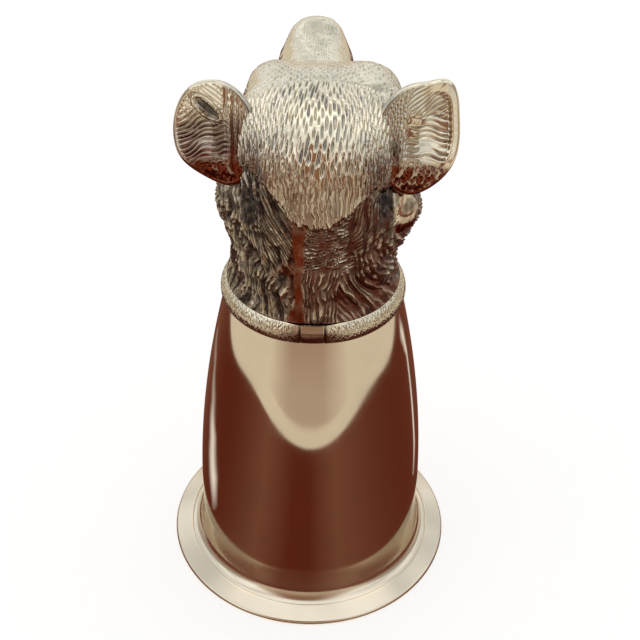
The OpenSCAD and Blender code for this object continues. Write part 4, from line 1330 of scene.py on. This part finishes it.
class STIRRUP_OT_stage(bpy.types.Operator):
    """Builds the pale floor, the white surroundings, the cards, the lamps and the camera."""

    bl_idname = "stirrup.stage"
    bl_label = "Studio and camera"

    def execute(self, context):
        stage = context.scene.stirrup_stage
        self.floor()
        self.surroundings(context)
        self.cards(stage)
        self.lamps(stage)
        self.camera(context)
        context.scene.view_settings.view_transform = "Standard"
        return {"FINISHED"}

    def floor(self):
        """A wide pale plane that keeps the shadow, lifted to white where it is seen or reflected."""
        material = bpy.data.materials.new("pale floor")
        material.use_nodes = True
        tree = material.node_tree
        shader = tree.nodes["Principled BSDF"]
        shader.inputs["Base Color"].default_value = (0.9, 0.9, 0.9, 1)
        shader.inputs["Roughness"].default_value = 0.9
        shader.inputs["Specular IOR Level"].default_value = 0.1
        shader.inputs["Emission Color"].default_value = (1, 1, 1, 1)
        tree.links.new(self.seen(tree, 0.48), shader.inputs["Emission Strength"])
        flat_card("floor", level(-FLOOR_HALF, FLOOR_HALF, -FLOOR_HALF, FLOOR_HALF, 0), material, False)

    def seen(self, tree, strength):
        """A strength for rays from the camera or off metal or glass, and nothing for other rays."""
        path = tree.nodes.new("ShaderNodeLightPath")
        first, second = tree.nodes.new("ShaderNodeMath"), tree.nodes.new("ShaderNodeMath")
        first.operation = second.operation = "MAXIMUM"
        tree.links.new(path.outputs["Is Camera Ray"], first.inputs[0])
        tree.links.new(path.outputs["Is Glossy Ray"], first.inputs[1])
        tree.links.new(first.outputs[0], second.inputs[0])
        tree.links.new(path.outputs["Is Transmission Ray"], second.inputs[1])
        scale = tree.nodes.new("ShaderNodeMath")
        scale.operation = "MULTIPLY"
        scale.inputs[1].default_value = strength
        tree.links.new(second.outputs[0], scale.inputs[0])
        return scale.outputs[0]

    def surroundings(self, context):
        """White where the camera, metal or glass looks past the object, and a dimmer even light elsewhere."""
        world = bpy.data.worlds.new("white surroundings")
        context.scene.world = world
        world.use_nodes = True
        tree = world.node_tree
        light = tree.nodes["Background"]
        light.inputs["Color"].default_value = (1, 1, 1, 1)
        raised = tree.nodes.new("ShaderNodeMath")
        raised.operation = "ADD"
        raised.inputs[1].default_value = 0.5
        tree.links.new(self.seen(tree, 0.5), raised.inputs[0])
        tree.links.new(raised.outputs[0], light.inputs["Strength"])

    def cards(self, stage):
        """Cards for the metal to reflect.

        They are a brown table, a pale room, a shade behind the camera, dim cards high and brown ones low at
        both sides, a mottled ceiling with a bright panel, and two ribbons.
        """
        room, dim = glow("room card", stage.room), self.strip("dim card", (0.3, 0.27, 0.23, 1))
        low = self.strip("low card", stage.haze)
        wide = (-ROOM_HALF, ROOM_HALF)
        flat_card("room_floor_card", level(*wide, *wide, 0.2), room)
        flat_card("room_back_card", upright(*wide, ROOM_HALF, 0, ROOM_SIDE_H), room)
        flat_card("table_card", table_outline(177, 126, 0.6), self.table_top(stage))
        flat_card("room_card", upright(*wide, -ROOM_HALF, 0, ROOM_FRONT_H), room)
        flat_card("shade_card", upright(-150, 120, -152, 1, 420), self.shade(stage))
        for name, x in (("left", -700), ("right", 700)):
            rows, columns = (110, 250, 330, 470), (-900, -250, 350, 1000)
            corners = np.array([(x, y, z) for z in rows for y in columns], float)
            soft = np.outer([0, 1, 1, 0], [0, 1, 1, 0])
            soft_card(f"{name}_dim_card", corners, grid_quads(4, 4), soft, dim)
            side = [(1.3 * x, y, z) for y, _, z in upright(*wide, 0, 0, ROOM_SIDE_H)]
            flat_card(f"{name}_room_card", side, room)
            rows, columns = (0, 60, 190), (-1000, -450, 0, 500)
            corners = np.array([(0.9 * x, y, z) for z in rows for y in columns], float)
            soft = np.outer([1, 1, 0], [0, 1, 1, 0])
            soft_card(f"{name}_low_card", corners, grid_quads(3, 4), soft, low)
        flat_card("ceiling_card", level(-1200, 1200, -300, 1500, CEILING_Z), self.ceiling())
        panel = glow("bright panel", (1, 0.98, 0.95, 1), 1.5)
        flat_card("overhead_panel_card", level(-300, 300, 40, 300, PANEL_Z), panel)
        strip = self.strip("bright ribbon", (1, 0.95, 0.88, 1))
        path = [(-40, -5), (-54, 2), (-71, 16), (-86, 36), (-93, 64), (-80, 90)]
        widths, fade = [10, 18, 24, 26, 26, 24], [0.2, 1, 0.9, 0.5, 0.35, 0.3]
        soft_ribbon("left_ribbon_card", path, widths, fade, 1.0, strip)
        path = [(47, 12), (57, 26), (71, 39), (88, 55), (102, 70), (120, 78), (140, 80)]
        widths, fade = [5, 7, 9, 11, 16, 34, 40], [0.4, 0.9, 1, 0.9, 0.8, 0.9, 0.7]
        soft_ribbon("right_ribbon_card", path, widths, fade, 1.0, strip)

    def ceiling(self):
        """A card overhead, mottled from dim to bright by noise, so that the carving catches uneven light."""
        material = glow("ceiling card", (0.92, 0.96, 0.98, 1))
        tree = material.node_tree
        clouds = noise_node(tree, tree.nodes.new("ShaderNodeTexCoord").outputs["Object"], 3.5, 1.0)
        strength = spread(tree, clouds.outputs["Fac"], 0.35, 0.65, 0.6, 1.3)
        tree.links.new(strength, tree.nodes["Emission"].inputs["Strength"])
        return material

    def strip(self, name, colour):
        """A glow that is clear where the card's value "soft" is low."""
        material = glow(name, colour)
        tree = material.node_tree
        soft = tree.nodes.new("ShaderNodeAttribute")
        soft.attribute_name = "soft"
        self.cleared(tree, spread(tree, soft.outputs["Fac"], 0.1, 0.9, 1.0, 0.0))
        return material

    def cleared(self, tree, share):
        """Makes a glowing card clear by a share."""
        mix, clear = tree.nodes.new("ShaderNodeMixShader"), tree.nodes.new("ShaderNodeBsdfTransparent")
        tree.links.new(share, mix.inputs[0])
        tree.links.new(tree.nodes["Emission"].outputs[0], mix.inputs[1])
        tree.links.new(clear.outputs[0], mix.inputs[2])
        tree.links.new(mix.outputs[0], tree.nodes["Material Output"].inputs["Surface"])

    def table_top(self, stage):
        """A card that glows red-brown, with a hazy band to either side of its middle."""
        material = glow("table card", stage.table)
        tree = material.node_tree
        place = tree.nodes.new("ShaderNodeSeparateXYZ")
        tree.links.new(tree.nodes.new("ShaderNodeTexCoord").outputs["Object"], place.inputs[0])
        ground = tree.nodes.new("ShaderNodeCombineXYZ")
        tree.links.new(place.outputs["X"], ground.inputs["X"])
        tree.links.new(place.outputs["Y"], ground.inputs["Y"])
        aim, side = tree.nodes.new("ShaderNodeVectorMath"), tree.nodes.new("ShaderNodeSeparateXYZ")
        aim.operation = "NORMALIZE"
        tree.links.new(ground.outputs[0], aim.inputs[0])
        tree.links.new(aim.outputs[0], side.inputs[0])
        ramp = tree.nodes.new("ShaderNodeValToRGB")
        tree.links.new(spread(tree, side.outputs["X"], -1.0, 1.0, 0.0, 1.0), ramp.inputs[0])
        for place_on, share in ((0.0, 0.0), (0.18, 0.9), (0.38, 0.0), (0.5, 0.0), (0.68, 0.9), (1.0, 0.1)):
            known = [e for e in ramp.color_ramp.elements if e.position == place_on]
            stop = known[0] if known else ramp.color_ramp.elements.new(place_on)
            stop.color = (share, share, share, 1)
        colour = mixed(tree, ramp.outputs[0], tuple(stage.table), tuple(stage.haze))
        tree.links.new(colour, tree.nodes["Emission"].inputs["Color"])
        return material

    def shade(self, stage):
        """A card that glows in the shade's colour, paler low down, and that clears towards its sides."""
        material = glow("shade card", stage.shade)
        tree = material.node_tree
        place = tree.nodes.new("ShaderNodeSeparateXYZ")
        tree.links.new(tree.nodes.new("ShaderNodeTexCoord").outputs["Object"], place.inputs[0])
        pale = tuple(0.5 * (a + b) for a, b in zip(stage.shade, stage.room))
        low = spread(tree, place.outputs["Z"], 0.02, 0.12, 1.0, 0.0)
        tree.links.new(mixed(tree, low, tuple(stage.shade), pale), tree.nodes["Emission"].inputs["Color"])
        offset, apart = tree.nodes.new("ShaderNodeMath"), tree.nodes.new("ShaderNodeMath")
        offset.operation, apart.operation = "ADD", "ABSOLUTE"
        offset.inputs[1].default_value = 0.015
        tree.links.new(place.outputs["X"], offset.inputs[0])
        tree.links.new(offset.outputs[0], apart.inputs[0])
        self.cleared(tree, spread(tree, apart.outputs[0], 0.045, 0.135, 0.0, 1.0))
        return material

    def lamps(self, stage):
        """A wide soft lamp overhead and a weaker one from the left."""
        for name, place, size, power in (
            ("overhead lamp", (0.1, 0.1, 1.0), 1.6, stage.lamp_power),
            ("side lamp", (-0.9, -0.3, 0.7), 0.9, stage.lamp_power * 0.35),
        ):
            lamp = bpy.data.lights.new(name, "AREA")
            lamp.size, lamp.energy = size, power
            holder = bpy.data.objects.new(name, lamp)
            bpy.context.scene.collection.objects.link(holder)
            holder.location = place
            aim = Vector(LAMP_AIM) - holder.location
            holder.rotation_euler = aim.to_track_quat("-Z", "Y").to_euler()

    def camera(self, context):
        """A camera behind the head and above it, at the photograph's angle."""
        lens = bpy.data.cameras.new("camera")
        lens.sensor_width, lens.sensor_fit = SENSOR_MM, "HORIZONTAL"
        lens.lens = SENSOR_MM * FOCAL_PX / FRAME_PX
        lens.shift_x, lens.shift_y = (shift / FRAME_PX for shift in SHIFT_PX)
        lens.clip_start, lens.clip_end = 0.01, 20
        holder = bpy.data.objects.new("camera", lens)
        bpy.context.scene.collection.objects.link(holder)
        pitch = Matrix.Rotation(math.radians(90 - CAMERA_PITCH), 4, "X")
        roll = Matrix.Rotation(math.radians(CAMERA_ROLL), 4, "Z")
        holder.matrix_world = Matrix.Translation(CAMERA_PLACE) @ (pitch @ roll)
        context.scene.camera = holder


class STIRRUP_PT_panel(bpy.types.Panel):
    """Lists the settings and the pieces of the cup."""

    bl_idname = "STIRRUP_PT_panel"
    bl_label = "Stirrup cup"
    bl_space_type = "VIEW_3D"
    bl_region_type = "UI"
    bl_category = "Stirrup cup"

    def draw(self, context):
        for group in (context.scene.stirrup_cup, context.scene.stirrup_head,
                      context.scene.stirrup_finish, context.scene.stirrup_stage):
            box = self.layout.box()
            for name in group.__annotations__:
                box.prop(group, name)
        for operator in OPERATORS:
            self.layout.operator(operator.bl_idname)


SETTINGS = (CupSettings, HeadSettings, FinishSettings, StageSettings)
OPERATORS = (
    STIRRUP_OT_cup, STIRRUP_OT_head, STIRRUP_OT_ears, STIRRUP_OT_collar, STIRRUP_OT_inside, STIRRUP_OT_stage,
)
POINTERS = ("stirrup_cup", "stirrup_head", "stirrup_finish", "stirrup_stage")


def register():
    """Registers the settings, the operators and the panel."""
    for cls in (*SETTINGS, *OPERATORS, STIRRUP_PT_panel):
        bpy.utils.register_class(cls)
    for name, cls in zip(POINTERS, SETTINGS):
        setattr(bpy.types.Scene, name, bpy.props.PointerProperty(type=cls))


def unregister():
    """Takes the panel, the operators and the settings away again."""
    for name in POINTERS:
        delattr(bpy.types.Scene, name)
    for cls in reversed((*SETTINGS, *OPERATORS, STIRRUP_PT_panel)):
        bpy.utils.unregister_class(cls)


def main():
    """Builds every piece and the studio."""
    register()
    bpy.ops.stirrup.cup()
    bpy.ops.stirrup.head()
    bpy.ops.stirrup.ears()
    bpy.ops.stirrup.collar()
    bpy.ops.stirrup.inside()
    bpy.ops.stirrup.stage()


if __name__ == "__main__":
    main()
